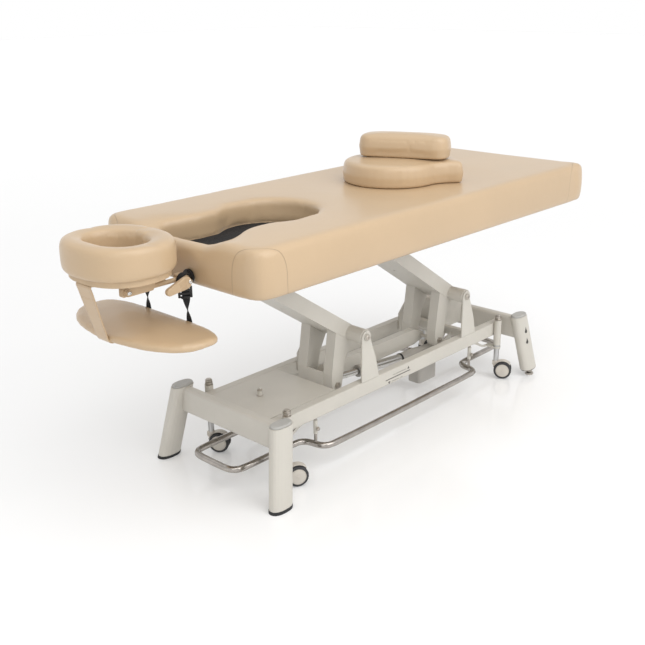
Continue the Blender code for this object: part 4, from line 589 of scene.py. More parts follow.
def turned(steps, vertices=40):
    """A round piece about +Z: a cylinder whose end is extruded through (height, radius) steps."""
    (low, first), (high, second) = steps[:2]
    bpy.ops.mesh.primitive_cylinder_add(
        vertices=vertices, radius=first, depth=high - low, location=(0, 0, (low + high) / 2)
    )
    item = bpy.context.active_object
    pick_face(item, (0, 0, 1))
    share = second / first
    bpy.ops.transform.resize(value=(share, share, share), center_override=(0, 0, high))
    before_height, before_radius = high, second
    for height, radius in steps[2:]:
        bpy.ops.mesh.extrude_region_move(TRANSFORM_OT_translate={"value": (0, 0, height - before_height)})
        share = radius / before_radius
        bpy.ops.transform.resize(value=(share, share, share), center_override=(0, 0, height))
        before_height, before_radius = height, radius
    bpy.ops.mesh.select_all(action="SELECT")
    bpy.ops.mesh.normals_make_consistent(inside=False)
    bpy.ops.object.mode_set(mode="OBJECT")
    return place_in_mesh(item)


def block(low, high, edge=0.0015, segments=2):
    """A rounded block between two corners."""
    low, high = Vector(low), Vector(high)
    bpy.ops.mesh.primitive_cube_add(size=1, location=(low + high) / 2)
    item = bpy.context.active_object
    item.scale = high - low
    place_in_mesh(item)
    return bevelled(item, edge, segments)


def carve(item, tool, operation="DIFFERENCE"):
    """Takes one shape out of another, or keeps what both share."""
    shaped(item, "BOOLEAN", operation=operation, solver="EXACT", object=tool)
    discard(tool)
    return item


def drill(item, radius, depth, vertices=28, place=(0, 0, 0)):
    """Cuts a hole along Z."""
    bpy.ops.mesh.primitive_cylinder_add(vertices=vertices, radius=radius, depth=depth, location=place)
    return carve(item, bpy.context.active_object)


def notch(item, middle, size):
    """Cuts a square-edged window."""
    bpy.ops.mesh.primitive_cube_add(size=1, location=middle)
    tool = bpy.context.active_object
    tool.scale = size
    return carve(item, place_in_mesh(tool))


def join(items):
    """Makes one piece of several shapes."""
    clear_selection()
    for item in items:
        item.select_set(True)
    bpy.context.view_layer.objects.active = items[0]
    bpy.ops.object.join()
    return items[0]


def moved(item, place):
    return place_in_mesh(item, Matrix.Translation(place))


def another(item, matrix):
    """A copy with its own mesh, in another place."""
    twin = item.copy()
    twin.data = item.data.copy()
    bpy.context.scene.collection.objects.link(twin)
    return place_in_mesh(twin, matrix)


def facing(way, place=(0, 0, 0), spin=0.0):
    """Turns +Z to a direction and moves to a place."""
    turn = Vector(way).to_track_quat("Z", "Y").to_matrix().to_4x4()
    return Matrix.Translation(Vector(place)) @ turn @ Matrix.Rotation(spin, 4, "Z")


def hex_nut(radius, thick, bore=0.0):
    """A chamfered hexagon nut standing on zero."""
    bpy.ops.mesh.primitive_cylinder_add(vertices=6, radius=radius, depth=thick, location=(0, 0, thick / 2))
    item = place_in_mesh(bpy.context.active_object)
    bpy.ops.mesh.primitive_cone_add(
        vertices=36, radius1=radius * 1.7, radius2=radius * 0.84, depth=thick * 1.6, location=(0, 0, thick * 0.32)
    )
    carve(item, bpy.context.active_object, "INTERSECT")
    if bore:
        drill(item, bore, thick * 3, 24)
    return bevelled(item, radius * 0.03, 1)


def socket_screw(radius, thick):
    """A button head with a hexagon socket, standing on zero."""
    item = turned([
        (0, radius), (thick * 0.45, radius), (thick * 0.80, radius * 0.88), (thick, radius * 0.62),
    ], 28)
    return drill(item, radius * 0.40, thick, 6, (0, 0, thick))


def ribbon(stations, width, thick, across=6, edge=0.0004):
    """A flat strap through stations of a middle point and the way that its width points."""
    bpy.ops.mesh.primitive_grid_add(x_subdivisions=across, y_subdivisions=len(stations) - 1, size=1)
    item = bpy.context.active_object
    rows = len(stations) - 1
    for vertex in item.data.vertices:
        row = round((vertex.co.y + 0.5) * rows)
        middle, way = stations[row]
        vertex.co = Vector(middle) + Vector(way).normalized() * (vertex.co.x * width)
    shaped(item, "SOLIDIFY", thickness=thick, offset=0.0)
    return bevelled(item, edge, 2, 50)


def curve_through(points, count):
    """Evenly spaced places on a smooth line through points."""
    points = [Vector(point) for point in points]
    places = []
    total = len(points) - 1
    for step in range(count + 1):
        at = min(step / count * total, total - 1e-6)
        index = int(at)
        t = at - index
        before = points[max(index - 1, 0)]
        start, end = points[index], points[index + 1]
        after = points[min(index + 2, total)]
        first = (end - before) / 2
        second = (after - start) / 2
        places.append(
            start * (2 * t ** 3 - 3 * t ** 2 + 1) + first * (t ** 3 - 2 * t ** 2 + t)
            + end * (3 * t ** 2 - 2 * t ** 3) + second * (t ** 3 - t ** 2)
        )
    return places


def arc(radius, first, sweep, count):
    """Places on part of a circle, with its angles in degrees."""
    turns = [math.radians(first + sweep * step / count) for step in range(count + 1)]
    return [Vector((math.cos(turn), math.sin(turn))) * radius for turn in turns]


def ease(value, low, high):
    share = max(0.0, min(1.0, (value - low) / (high - low)))
    return share * share * (3 - 2 * share)


# Cushions

def cushion_from(node, name):
    """A merged copy of a node's shape, ready for meshing."""
    item = bpy.data.objects.new(name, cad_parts[node].data.copy())
    bpy.context.scene.collection.objects.link(item)
    choose(item)
    if item.data.has_custom_normals:
        bpy.ops.mesh.customdata_custom_splitnormals_clear()
    bpy.ops.object.mode_set(mode="EDIT")
    bpy.ops.mesh.select_all(action="SELECT")
    bpy.ops.mesh.remove_doubles(threshold=0.00002)
    bpy.ops.object.mode_set(mode="OBJECT")
    return item


def swollen(item, cap, freedom, pressure):
    """Fills the cover by cloth simulation; each point moves at most cap times its freedom."""
    scene = bpy.context.scene
    before = [vertex.co.copy() for vertex in item.data.vertices]
    normals = [vertex.normal.copy() for vertex in item.data.vertices]
    change = modify(item, "CLOTH")
    for name, value in {
        "quality": 5, "mass": 0.3, "tension_stiffness": 12, "compression_stiffness": 12, "shear_stiffness": 6,
        "bending_stiffness": 0.6, "use_pressure": True, "uniform_pressure_force": pressure,
    }.items():
        setattr(change.settings, name, value)
    change.settings.effector_weights.gravity = 0
    change.point_cache.frame_start, change.point_cache.frame_end = 1, SIM_FRAMES
    for step in range(1, SIM_FRAMES + 1):
        scene.frame_set(step)
    view = bpy.context.evaluated_depsgraph_get()
    filled = item.evaluated_get(view).to_mesh()
    after = [vertex.co.copy() for vertex in filled.vertices]
    item.evaluated_get(view).to_mesh_clear()
    item.modifiers.remove(change)
    scene.frame_set(1)
    for vertex, start, end, normal in zip(item.data.vertices, before, after, normals):
        move = end - start
        limit = cap * freedom(start, normal)
        if move.length > limit:
            move = move * (limit / max(move.length, 1e-9))
        vertex.co = start + move
    item.data.update()
    return item


def upholstered(
    node, name, key, body, voxel, passes, freedom, cap, levels=1, calm=3, extra=None, shape=None, snug=False
):
    """Covers a cushion's solid; extra joins on before the mesh is made, shape moves its points after.

    A snug cover is drawn back onto the solid, which keeps its edges crisp.
    """
    sizes = bpy.context.scene.massage_sizes
    item = cushion_from(node, name)
    if extra:
        item = join([item, extra])
    modify(item, "REMESH", mode="VOXEL", voxel_size=voxel)
    shaped(item, "SMOOTH", factor=0.5, iterations=passes)
    if snug:
        shaped(item, "SHRINKWRAP", target=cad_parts[node], wrap_method="NEAREST_SURFACEPOINT")
    if shape:
        for vertex in item.data.vertices:
            vertex.co = shape(vertex.co.copy())
        item.data.update()
    swollen(item, cap, freedom, sizes.pressure)
    modify(item, "SMOOTH", factor=0.5, iterations=calm)
    if levels:
        modify(item, "SUBSURF", levels=levels, render_levels=levels)
    settle(item, name, key, body, angle=0, replaces=(node,))
    choose(item)
    bpy.ops.object.shade_smooth()
    clear_selection()
    return item


def keyhole_lip():
    """Where the upholstery turns down through the deck's cut-out to the black cloth."""
    item = cushion_from("cutout_floor", "keyhole_lip")
    bpy.ops.object.mode_set(mode="EDIT")
    bpy.ops.mesh.select_mode(type="FACE")
    bpy.ops.mesh.select_all(action="DESELECT")
    mesh = bmesh.from_edit_mesh(item.data)
    for face in mesh.faces:
        face.select = abs(face.normal.z) > 0.5
    bmesh.update_edit_mesh(item.data)
    bpy.ops.mesh.delete(type="FACE")
    bpy.ops.object.mode_set(mode="OBJECT")
    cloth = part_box("cutout_floor")
    middle = (cloth[0].z + cloth[1].z) / 2
    half = 0.0075
    for vertex, way in [(vertex, vertex.normal.copy()) for vertex in item.data.vertices]:
        aside = Vector((way.x, way.y, 0)).normalized() * (0.0012 + half)
        tall = cloth[1].z - 0.0006 if vertex.co.z < middle else FOAM_LOW + 0.012
        vertex.co = Vector((vertex.co.x + aside.x, vertex.co.y + aside.y, tall))
    return shaped(item, "SOLIDIFY", thickness=half * 2, offset=0.0)


class MASSAGE_OT_tabletop(bpy.types.Operator):
    """Makes the tabletop's upholstery over its foam, skirt and keyhole."""

    bl_idname = "massage.tabletop"
    bl_label = "Tabletop upholstery"

    def execute(self, context):
        sizes = context.scene.massage_sizes
        low, high = TOP
        rest = (INSERT[0] + INSERT[1]) / 2

        def freedom(spot, normal):
            if normal.z < -0.4 or spot.z < low.z + 0.004:
                return 0.0
            inside = min(spot.x - low.x, high.x - spot.x, high.y - abs(spot.y))
            if spot.z < FOAM_LOW + 0.004 and inside > 0.012:
                return 0.0
            share = 1.0
            if inside > 0.03 and abs(normal.z) < 0.7:
                share = ease(spot.z, FOAM_LOW + 0.006, FOAM_LOW + 0.03)
            if spot.z > high.z - 0.01:
                share = ease((spot - rest).xy.length, 0.26, 0.42)
            if spot.x < low.x + 0.03:
                beside = math.hypot(abs(spot.y) - CRADLE_Y, spot.z - CRADLE_Z)
                share *= ease(beside, 0.026, 0.055)
            return share

        def stretched(spot):
            """Fills the plan's corners and lets the cover stand proud at the foot end."""
            end = 1 if spot.x > 0 else -1
            middle_x = (high.x - TOP_CORNER) if end > 0 else (low.x + TOP_CORNER)
            along = (spot.x - middle_x) * end
            beside = abs(spot.y) - (high.y - TOP_CORNER)
            if along > 0 and beside > 0:
                power = 3.6 if end > 0 else 2.9
                share = math.hypot(along, beside) / (along ** power + beside ** power) ** (1 / power)
                spot.x = middle_x + along * share * end
                spot.y = math.copysign(high.y - TOP_CORNER + beside * share, spot.y)
            spot.x += 0.014 * ease(spot.x, high.x - 0.30, high.x)
            return spot

        upholstered(
            "tabletop_cushion", "tabletop_upholstery", "top_vinyl", "top", sizes.top_voxel, 4, freedom,
            sizes.swell * 0.8, levels=0, extra=keyhole_lip(), shape=stretched,
        )
        return {"FINISHED"}


class MASSAGE_OT_face_cushion(bpy.types.Operator):
    """Makes the horseshoe cushion of the face cradle."""

    bl_idname = "massage.face_cushion"
    bl_label = "Face cushion"

    def execute(self, context):
        sizes = context.scene.massage_sizes
        low, high = FACE
        middle = (low + high) / 2
        hole = Vector((middle.x - 0.013, 0))

        def edge(turn, half_x, half_y, power, shift):
            """Distance from the hole's centre to an oval's edge in one direction."""
            near, far = 0.0, 0.3
            for step in range(22):
                reach = (near + far) / 2
                x = abs(reach * math.cos(turn) - shift) / half_x
                y = abs(reach * math.sin(turn)) / half_y
                if x ** power + y ** power > 1:
                    far = reach
                else:
                    near = reach
            return near

        table = []
        for step in range(721):
            turn = math.radians(step / 2)
            inner = edge(turn, 0.088, 0.108, 2.15, 0.0)
            ahead = max(0.0, -math.cos(turn)) ** 1.5
            table.append((inner, inner - 0.024 * ahead, edge(turn, 0.155, 0.175, 2.3, 0.013) * 0.976))

        def drum(spot):
            """Squares up the roll's section, flat at the sides, crisp round the opening."""
            place = spot.xy - hole
            turn = math.atan2(place.y, place.x) % (2 * math.pi)
            inner, hem, outer = table[round(math.degrees(turn) * 2)]
            u = 2 * (place.length - inner) / (outer - inner) - 1
            v = 2 * (spot.z - low.z) / (high.z - low.z) - 1
            size = math.hypot(u, v)
            if size > 0.66:
                power = (5.0 if u < 0 else 3.6) if v > 0 else 5.0
                share = 1 / (abs(u) ** power + abs(v) ** power) ** (1 / power)
                u, v = u * share, v * share
            hem = inner + (hem - inner) * ease(v, -0.9, 0.2)
            reach = hem + (outer - hem) * (u + 1) / 2
            y = reach * math.sin(turn)
            if math.cos(turn) > 0 and abs(spot.y) < 0.010:
                y = math.copysign(max(0.0006, (abs(spot.y) - 0.0030) * 1.4), spot.y)
            return Vector((hole.x + reach * math.cos(turn), y, low.z + (high.z - low.z - 0.0025) * (v + 1) / 2))

        def freedom(spot, normal):
            slit = 1 if abs(spot.y) < 0.02 and spot.x > middle.x else 0
            return ease(spot.z, low.z + 0.002, low.z + 0.02) * (1 - slit)

        upholstered(
            "face_cushion", "face_upholstery", "vinyl", "face", sizes.pad_voxel, 5, freedom, sizes.swell * 0.5,
            calm=2, shape=drum,
        )
        return {"FINISHED"}


class MASSAGE_OT_shelf(bpy.types.Operator):
    """Makes the half-moon pad of the armrest shelf."""

    bl_idname = "massage.shelf"
    bl_label = "Armrest shelf"

    def execute(self, context):
        sizes = context.scene.massage_sizes
        low, high = SHELF

        def freedom(spot, normal):
            strap = 1 - ease(abs(spot.y), 0.020, 0.110)
            ahead = 1 - ease(spot.x, low.x + 0.02, low.x + 0.12)
            behind = ease(spot.x, high.x - 0.02, high.x - 0.004) * (1 - ease(abs(abs(spot.y) - 0.111), 0.016, 0.04))
            return max(0.0, 1 - strap * ahead - behind)

        upholstered(
            "armrest_shelf", "shelf_upholstery", "vinyl", "shelf", sizes.pad_voxel * 0.85, 5, freedom,
            sizes.swell * 0.5, snug=True,
        )
        return {"FINISHED"}


class MASSAGE_OT_loose_cushions(bpy.types.Operator):
    """Makes the round insert with its neck and the block cushion on it."""

    bl_idname = "massage.loose_cushions"
    bl_label = "Loose cushions"

    def execute(self, context):
        sizes = context.scene.massage_sizes
        block_middle = (BLOCK[0] + BLOCK[1]) / 2

        def insert_freedom(spot, normal):
            share = ease(spot.z, INSERT[0].z + 0.004, INSERT[0].z + 0.02)
            if spot.z > INSERT[1].z - 0.012:
                share *= ease((spot - block_middle).xy.length, 0.16, 0.22)
            return share

        def block_freedom(spot, normal):
            return ease(spot.z, BLOCK[0].z + 0.004, BLOCK[0].z + 0.02)

        for body, freedom, calm in (("insert", insert_freedom, 16), ("block", block_freedom, 2)):
            upholstered(
                body + "_cushion", body + "_upholstery", "vinyl", body, sizes.pad_voxel, 3, freedom,
                sizes.swell * 0.4, calm=calm, snug=True,
            )
        return {"FINISHED"}


class MASSAGE_OT_cutout_floor(bpy.types.Operator):
    """Lays the black cloth in the keyhole, drawn tight over the deck with a few soft ripples."""

    bl_idname = "massage.cutout_floor"
    bl_label = "Cut-out floor"

    def execute(self, context):
        low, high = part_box("cutout_floor")
        middle = (low + high) / 2
        bpy.ops.mesh.primitive_grid_add(x_subdivisions=110, y_subdivisions=80, size=1, location=middle)
        item = context.active_object
        item.scale = (high.x - low.x + 0.02, high.y - low.y + 0.02, 1)
        shaped(place_in_mesh(item), "SOLIDIFY", thickness=0.0012, offset=0.0)
        outline = cushion_from("cutout_floor", "outline")
        outline.scale = (1, 1, 6)
        outline.location = (0, 0, -5 * middle.z)
        carve(item, place_in_mesh(outline), "INTERSECT")
        for vertex in item.data.vertices:
            spot = vertex.co
            edge = ease(0.19 - math.hypot(spot.x - middle.x, spot.y) * 0.6, 0.0, 0.15)
            spot.z += 0.0008 * edge * (1 + math.sin(spot.x * 31 + spot.y * 17) * math.cos(spot.y * 43 - spot.x * 9))
        settle(item, "cutout_cloth", "floor_cloth", "top", replaces=("cutout_floor",))
        return {"FINISHED"}


class MASSAGE_OT_front_strap(bpy.types.Operator):
    """Makes the broad vinyl strap from the platform down to the shelf's front edge."""

    bl_idname = "massage.front_strap"
    bl_label = "Front strap"

    def execute(self, context):
        sizes = context.scene.massage_sizes
        low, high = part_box("strap_front")
        shelf_x = SHELF[0].x - sizes.hanger_thick / 2 - 0.0006
        top_x = low.x + 0.023
        hang = []
        for step in range(1, 8):
            share = step / 8
            fall = Vector((top_x - 0.003, 0, high.z - 0.008)).lerp(Vector((shelf_x, 0, SHELF[1].z - 0.014)), share)
            hang.append((fall.x - 0.0010 * math.sin(math.pi * share), 0, fall.z))
        path = [
            (top_x + 0.030, 0, high.z - 0.0026), (top_x + 0.008, 0, high.z - 0.0028),
            (top_x - 0.0030, 0, high.z - 0.0075), *hang,
            (shelf_x + 0.0004, 0, SHELF[0].z + 0.010), (shelf_x + 0.012, 0, SHELF[0].z - 0.0034),
            (shelf_x + 0.040, 0, SHELF[0].z - 0.0030),
        ]
        stations = [(spot, (0, 1, 0)) for spot in curve_through(path, 60)]
        fold = next(row for row, (spot, _) in enumerate(stations) if spot.z < high.z - FOLD_DEPTH)
        parts = []
        for run in (stations[:fold + 1], stations[fold:]):
            item = ribbon(run, sizes.hanger_width, sizes.hanger_thick, 10, 0.0006)
            for vertex in item.data.vertices:
                vertex.co.y *= 1 - 0.20 * ease(high.z - vertex.co.z, 0.0, high.z - SHELF[0].z)
            parts.append(item)
        # the tilting cushion presses the strap's top down, so that part folds by itself
        settle(parts[0], "front_strap_fold", "strap_vinyl", "cradle")
        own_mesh(parts[0])
        settle(parts[1], "front_strap", "strap_vinyl", None, replaces=("strap_front",))
        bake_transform(parts[1])
        return {"FINISHED"}


class MASSAGE_OT_webbing(bpy.types.Operator):
    """Makes the two twisted webbing straps with their ladder buckles."""

    bl_idname = "massage.webbing"
    bl_label = "Webbing and buckles"

    def execute(self, context):
        sizes = context.scene.massage_sizes
        shelf_x = SHELF[1].x + sizes.webbing_thick / 2 + 0.0006
        start = math.radians(-32)
        for (side, word), out, foot_out in zip(SIDES, (0.022, 0.012), (0.018, 0.032)):
            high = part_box("strap_" + word)[1].z
            top = Vector((-0.9495 + SHIFT, side * (CRADLE_Y + out), high))
            foot = Vector((shelf_x, side * (CRADLE_Y + foot_out), SHELF[1].z - 0.020))
            stations = []
            for step in range(41):
                share = step / 40
                spot = top.lerp(foot, share)
                turn = start + math.radians(122) * ease(share, 0.12, 0.94)
                narrow = 1 - 0.10 * math.sin(math.pi * share)
                stations.append((spot, Vector((math.cos(turn), math.sin(turn), 0)) * narrow))
            item = ribbon(stations, sizes.webbing_width, sizes.webbing_thick, 6, 0.0003)
            settle(item, "webbing_" + word, "webbing", None, replaces=("strap_" + word,))
            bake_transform(item)

            shape = block((-0.0215, -0.0030, -0.040), (0.0215, 0.0030, -0.004), 0.0022, 3)
            for low_z, high_z in ((-0.0350, -0.0300), (-0.0235, -0.0195), (-0.0140, -0.0100)):
                notch(shape, (0, 0, (low_z + high_z) / 2), (0.029, 0.02, high_z - low_z))
            grip = block((-0.013, -0.0052, -0.0425), (0.013, 0.0012, -0.0365), 0.0016)
            place_in_mesh(join([shape, grip]), Matrix.Translation(top) @ Matrix.Rotation(start, 4, "Z"))
            settle(shape, "buckle_" + word, "black", "cradle")

            centre = Vector((top.x, top.y, CRADLE_Z))
            loop = [(centre + spot.to_3d().xzy, (0, 1, 0)) for spot in arc(0.0205, 28, 304, 24)]
            item = ribbon(loop, sizes.webbing_width, sizes.webbing_thick, 4, 0.0003)
            settle(item, "webbing_loop_" + word, "webbing", "cradle")
        return {"FINISHED"}


# Casters, fixings and fittings

class MASSAGE_OT_casters(bpy.types.Operator):
    """Makes the twin wheels, the hoods over them, the stems' tips and the nuts on their sockets."""

    bl_idname = "massage.casters"
    bl_label = "Casters"

    def execute(self, context):
        tyre = turned([
            (0.0080, 0.0320), (0.0092, 0.0356), (0.0104, 0.0370), (0.0118, 0.0374), (0.0178, 0.0374),
            (0.0200, 0.0367), (0.0214, 0.0350), (0.0220, 0.0326), (0.0220, 0.0298), (0.0212, 0.0290), (0.0204, 0.0286),
        ], 56)
        tyre = join([tyre, another(tyre, Matrix.Rotation(math.pi, 4, "X"))])
        hub = turned([
            (0.0196, 0.0284), (0.0216, 0.0284), (0.0224, 0.0278), (0.0226, 0.0270), (0.0217, 0.0263),
            (0.0217, 0.0255), (0.0226, 0.0249), (0.0232, 0.0200), (0.0236, 0.0130), (0.0237, 0.0074),
            (0.0232, 0.0068), (0.0232, 0.0062), (0.0240, 0.0056), (0.0242, 0.0020),
        ], 48)
        hub = join([hub, another(hub, Matrix.Rotation(math.pi, 4, "X"))])
        rim = [(spot.to_3d().xzy, (0, 1, 0)) for spot in arc(0.0405, 38, 128, 32)]
        hood = ribbon(rim, 0.026, 0.0028, 6, 0.0010)
        lower = hex_nut(0.0142, 0.0080, 0.0113)
        upper = another(lower, Matrix.Translation((0, 0, 0.0088)) @ Matrix.Rotation(0.4, 4, "Z"))
        washer = turned([(-0.0014, 0.0152), (-0.0001, 0.0152)], 32)
        tip = turned([(0.0166, 0.0104), (0.0196, 0.0104), (0.0208, 0.0092)], 24)
        nuts = join([lower, upper, washer])
        for key, (end, side, turn) in CASTERS.items():
            stem = Vector((end * STEM_X + SHIFT, side * STEM_Y, 0))
            heading = Vector((math.cos(turn), math.sin(turn), 0))
            axle = stem + heading * TRAIL + Vector((0, 0, AXLE_Z))
            across = Vector((-math.sin(turn), math.cos(turn), 0))
            wheel, caster = "wheel_" + key, "caster_" + key
            settle(another(tyre, facing(across, axle)), "tyre_" + key, "tread", wheel, replaces=(wheel,))
            settle(another(hub, facing(across, axle)), "hub_" + key, "hub", wheel)
            spin = Matrix.Rotation(turn, 4, "Z")
            settle(another(hood, Matrix.Translation(axle) @ spin), "hood_" + key, "hub", caster, angle=50)
            place = Matrix.Translation(stem + Vector((0, 0, NUTS_Z))) @ spin
            settle(another(nuts, place), "stem_nuts_" + key, "zinc", "base")
            settle(another(tip, place), "stem_tip_" + key, "zinc", caster)
        discard(tyre, hub, hood, nuts, tip)
        return {"FINISHED"}


class MASSAGE_OT_lever(bpy.types.Operator):
    """Makes the cradle's broad locking lever, a moulded paddle with grip ribs round its pivot."""

    bl_idname = "massage.lever"
    bl_label = "Cradle lever"

    def execute(self, context):
        pivot = Vector((-0.8000, CRADLE_Z - 0.0020))
        tip = Vector((-0.8620, CRADLE_Z - 0.0165))
        slope = math.atan2(tip.y - pivot.y, tip.x - pivot.x)
        lean = math.degrees(slope)
        outline = [pivot + spot for spot in arc(0.0190, lean + 82, 196, 14)]
        outline += [tip + spot for spot in arc(0.0118, lean - 82, 164, 8)]
        bpy.ops.mesh.primitive_circle_add(vertices=len(outline), radius=0.01, fill_type="NGON")
        item = context.active_object
        for vertex, spot in zip(item.data.vertices, outline):
            vertex.co = Vector((spot.x, LEVER_FACE, spot.y))
        bpy.ops.object.mode_set(mode="EDIT")
        bpy.ops.mesh.select_all(action="SELECT")
        bpy.ops.mesh.extrude_region_move(TRANSFORM_OT_translate={"value": (0, LEVER_THICK, 0)})
        bpy.ops.mesh.select_all(action="SELECT")
        bpy.ops.mesh.normals_make_consistent(inside=False)
        bpy.ops.object.mode_set(mode="OBJECT")
        bevelled(item, 0.0024, 3, 50)
        place = Matrix.Translation((pivot.x, LEVER_FACE, pivot.y)) @ Matrix.Rotation(-slope, 4, "Y")
        ribs = []
        for step in range(6):
            back = step * 0.0042
            rib = block((0.0235 - back, -0.0007, -0.0145), (0.0253 - back, 0.0009, 0.0145), 0.0005)
            ribs.append(place_in_mesh(rib, place))
        settle(join([item, *ribs]), "cradle_lever", "cradle", "lever", replaces=("cam_lever",))
        return {"FINISHED"}


class MASSAGE_OT_pivot_screws(bpy.types.Operator):
    """Puts screws and nuts on the pins of the lift, and bolts on the face tilt and the lever."""

    bl_idname = "massage.pivot_screws"
    bl_label = "Pivot screws"

    def execute(self, context):
        screw = socket_screw(0.0108, 0.0036)
        for body, pivot in LIFT_PIVOTS.items():
            top = pivot + ARM_REACH
            for spot, way, word in (
                (pivot + Vector((0, -0.1887, 0)), -1, "lower_near"), (pivot + Vector((0, 0.0963, 0)), 1, "lower_far"),
                (top + Vector((0, -0.1237, 0)), -1, "upper_near"), (top + Vector((0, 0.0837, 0)), 1, "upper_far"),
            ):
                settle(another(screw, facing((0, way, 0), spot)), f"pivot_{body}_{word}", "zinc", body)
        nut = join([hex_nut(0.0125, 0.0070), turned([(0.0069, 0.0062), (0.0098, 0.0062), (0.0104, 0.0054)], 20)])
        for body, pivot in LIFT_PIVOTS.items():
            for (way, word), y in zip(SIDES, (-0.1056, 0.0656)):
                place = facing((0, way, 0), pivot + HORN_PIN + Vector((0, y, 0)), 0.3)
                settle(another(nut, place), f"horn_nut_{body}_{word}", "zinc", body)
        bolt = socket_screw(0.0070, 0.0030)
        for side, word in SIDES:
            place = facing((0, side, 0), TILT_PIVOT + Vector((0, side * 0.0968, 0)))
            settle(another(bolt, place), "tilt_bolt_" + word, "chrome", "cradle")
        place = facing((0, -1, 0), (LEVER_BOLT_X, LEVER_FACE - 0.0001, CRADLE_Z))
        settle(another(bolt, place), "lever_bolt", "chrome", "lever")
        discard(screw, nut, bolt)
        return {"FINISHED"}


class MASSAGE_OT_foot_bar(bpy.types.Operator):
    """Rounds the stainless foot bar: the same tube with a finer, smooth surface."""

    bl_idname = "massage.foot_bar"
    bl_label = "Foot bar"

    def execute(self, context):
        item = cushion_from("control_bar", "foot_bar")
        bpy.ops.object.mode_set(mode="EDIT")
        bpy.ops.mesh.select_mode(type="EDGE")
        bpy.ops.mesh.select_all(action="DESELECT")
        bpy.ops.mesh.edges_select_sharp(sharpness=math.radians(55))
        bpy.ops.transform.edge_crease(value=1.0)
        bpy.ops.object.mode_set(mode="OBJECT")
        for vertex in item.data.vertices:
            vertex.co += vertex.normal * 0.0002
        modify(item, "SUBSURF", levels=1, render_levels=1)
        settle(item, "foot_bar", "tube", "control", angle=55, replaces=("control_bar",))
        return {"FINISHED"}


class MASSAGE_OT_base_fittings(bpy.types.Operator):
    """Adds the tray's post nut, the foot bar's guide blocks, the screw feet's nuts and the actuator's ring."""

    bl_idname = "massage.base_fittings"
    bl_label = "Base fittings"

    def execute(self, context):
        washer = turned([(0.0002, 0.0125), (0.0016, 0.0125)], 36)
        nut = moved(hex_nut(0.0095, 0.0060, 0.0057), (0, 0, 0.0184))
        settle(moved(join([washer, nut]), POST), "post_nut", "zinc", "base")

        bolt = join([hex_nut(0.0066, 0.0045), turned([(-0.0012, 0.0078), (0.0, 0.0078)], 24)])
        for end, end_word in ((-1, "head"), (1, "foot")):
            for side, side_word in SIDES:
                x, y = end * GUIDE_X + SHIFT, side * GUIDE_Y
                guide = block((x - 0.0125, y - 0.0105, 0.1270), (x + 0.0125, y + 0.0105, 0.1895), 0.0030, 3)
                lug = block((x - 0.021, y - 0.0085, 0.1790), (x + 0.021, y + 0.0085, 0.1896), 0.0024, 3)
                guide = drill(join([guide, lug]), 0.0074, 0.2, place=(x, y, 0.15))
                key = f"{end_word}_{side_word}"
                settle(guide, "bar_guide_" + key, "paint", "base")
                place = facing((0, side, 0), (x, y + side * 0.0118, 0.1480), 0.2)
                settle(another(bolt, place), "guide_bolt_" + key, "zinc", "base")
        discard(bolt)

        for side, word in SIDES:
            collar = moved(hex_nut(0.0132, 0.0078, 0.0063), (0, 0, 0.0122))
            threads = []
            for step in range(7):
                low = 0.0206 + step * 0.00135
                threads.append(turned([(low, 0.0062), (low + 0.0006, 0.0070), (low + 0.0012, 0.0062)], 24))
            item = moved(join([collar, *threads]), (SCREW_FEET_X, side * 0.289, 0))
            settle(item, "screw_foot_" + word, "zinc", "level_" + word)
            plug = turned([(-0.0026, 0.0440), (-0.0010, 0.0450), (-0.0002, 0.0450)], 48)
            plug.scale = (1, 0.0262 / 0.0452, 1)
            drill(place_in_mesh(plug), 0.0084, 0.02)
            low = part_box("leg_foot_" + word)[0].z
            settle(moved(plug, (SCREW_FEET_X - 0.0055, side * 0.2846, low)), "leg_plug_" + word, "black", "base")

        for name, key, bore, along, steps in (
            ("ring", "black", 0.0187, 0.4515,
             [(-0.0040, 0.0196), (-0.0032, 0.0206), (0.0032, 0.0206), (0.0040, 0.0196)]),
            ("wiper", "collar", 0.0138, 0.1900,
             [(-0.0034, 0.0206), (-0.0026, 0.0214), (-0.0006, 0.0214), (-0.0003, 0.0206)]),
        ):
            item = drill(turned(steps), bore, 0.05, 40)
            settle(place_in_mesh(item, facing(SCREW_WAY, EYE + SCREW_WAY * along)), "actuator_" + name, key, "base")
        return {"FINISHED"}


class MASSAGE_OT_socket_trim(bpy.types.Operator):
    """Adds the raised ring and the screws on the two black cradle sockets."""

    bl_idname = "massage.socket_trim"
    bl_label = "Socket trim"

    def execute(self, context):
        ring = turned([(0.0, 0.0172), (0.0012, 0.0172), (0.0019, 0.0164), (0.0019, 0.0120)])
        drill(ring, 0.0092, 0.02, 32)
        bolt = socket_screw(0.0022, 0.0012)
        bolts = [another(bolt, Matrix.Translation(spot.to_3d())) for spot in arc(0.0198, 90, 240, 2)]
        trim = join([ring, *bolts])
        for side, word in SIDES:
            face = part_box("cradle_socket_" + word)[0].x - 0.0001
            place = facing((-1, 0, 0), (face, side * CRADLE_Y, CRADLE_Z))
            settle(another(trim, place), "socket_trim_" + word, "black", "top")
        discard(bolt, trim)
        return {"FINISHED"}


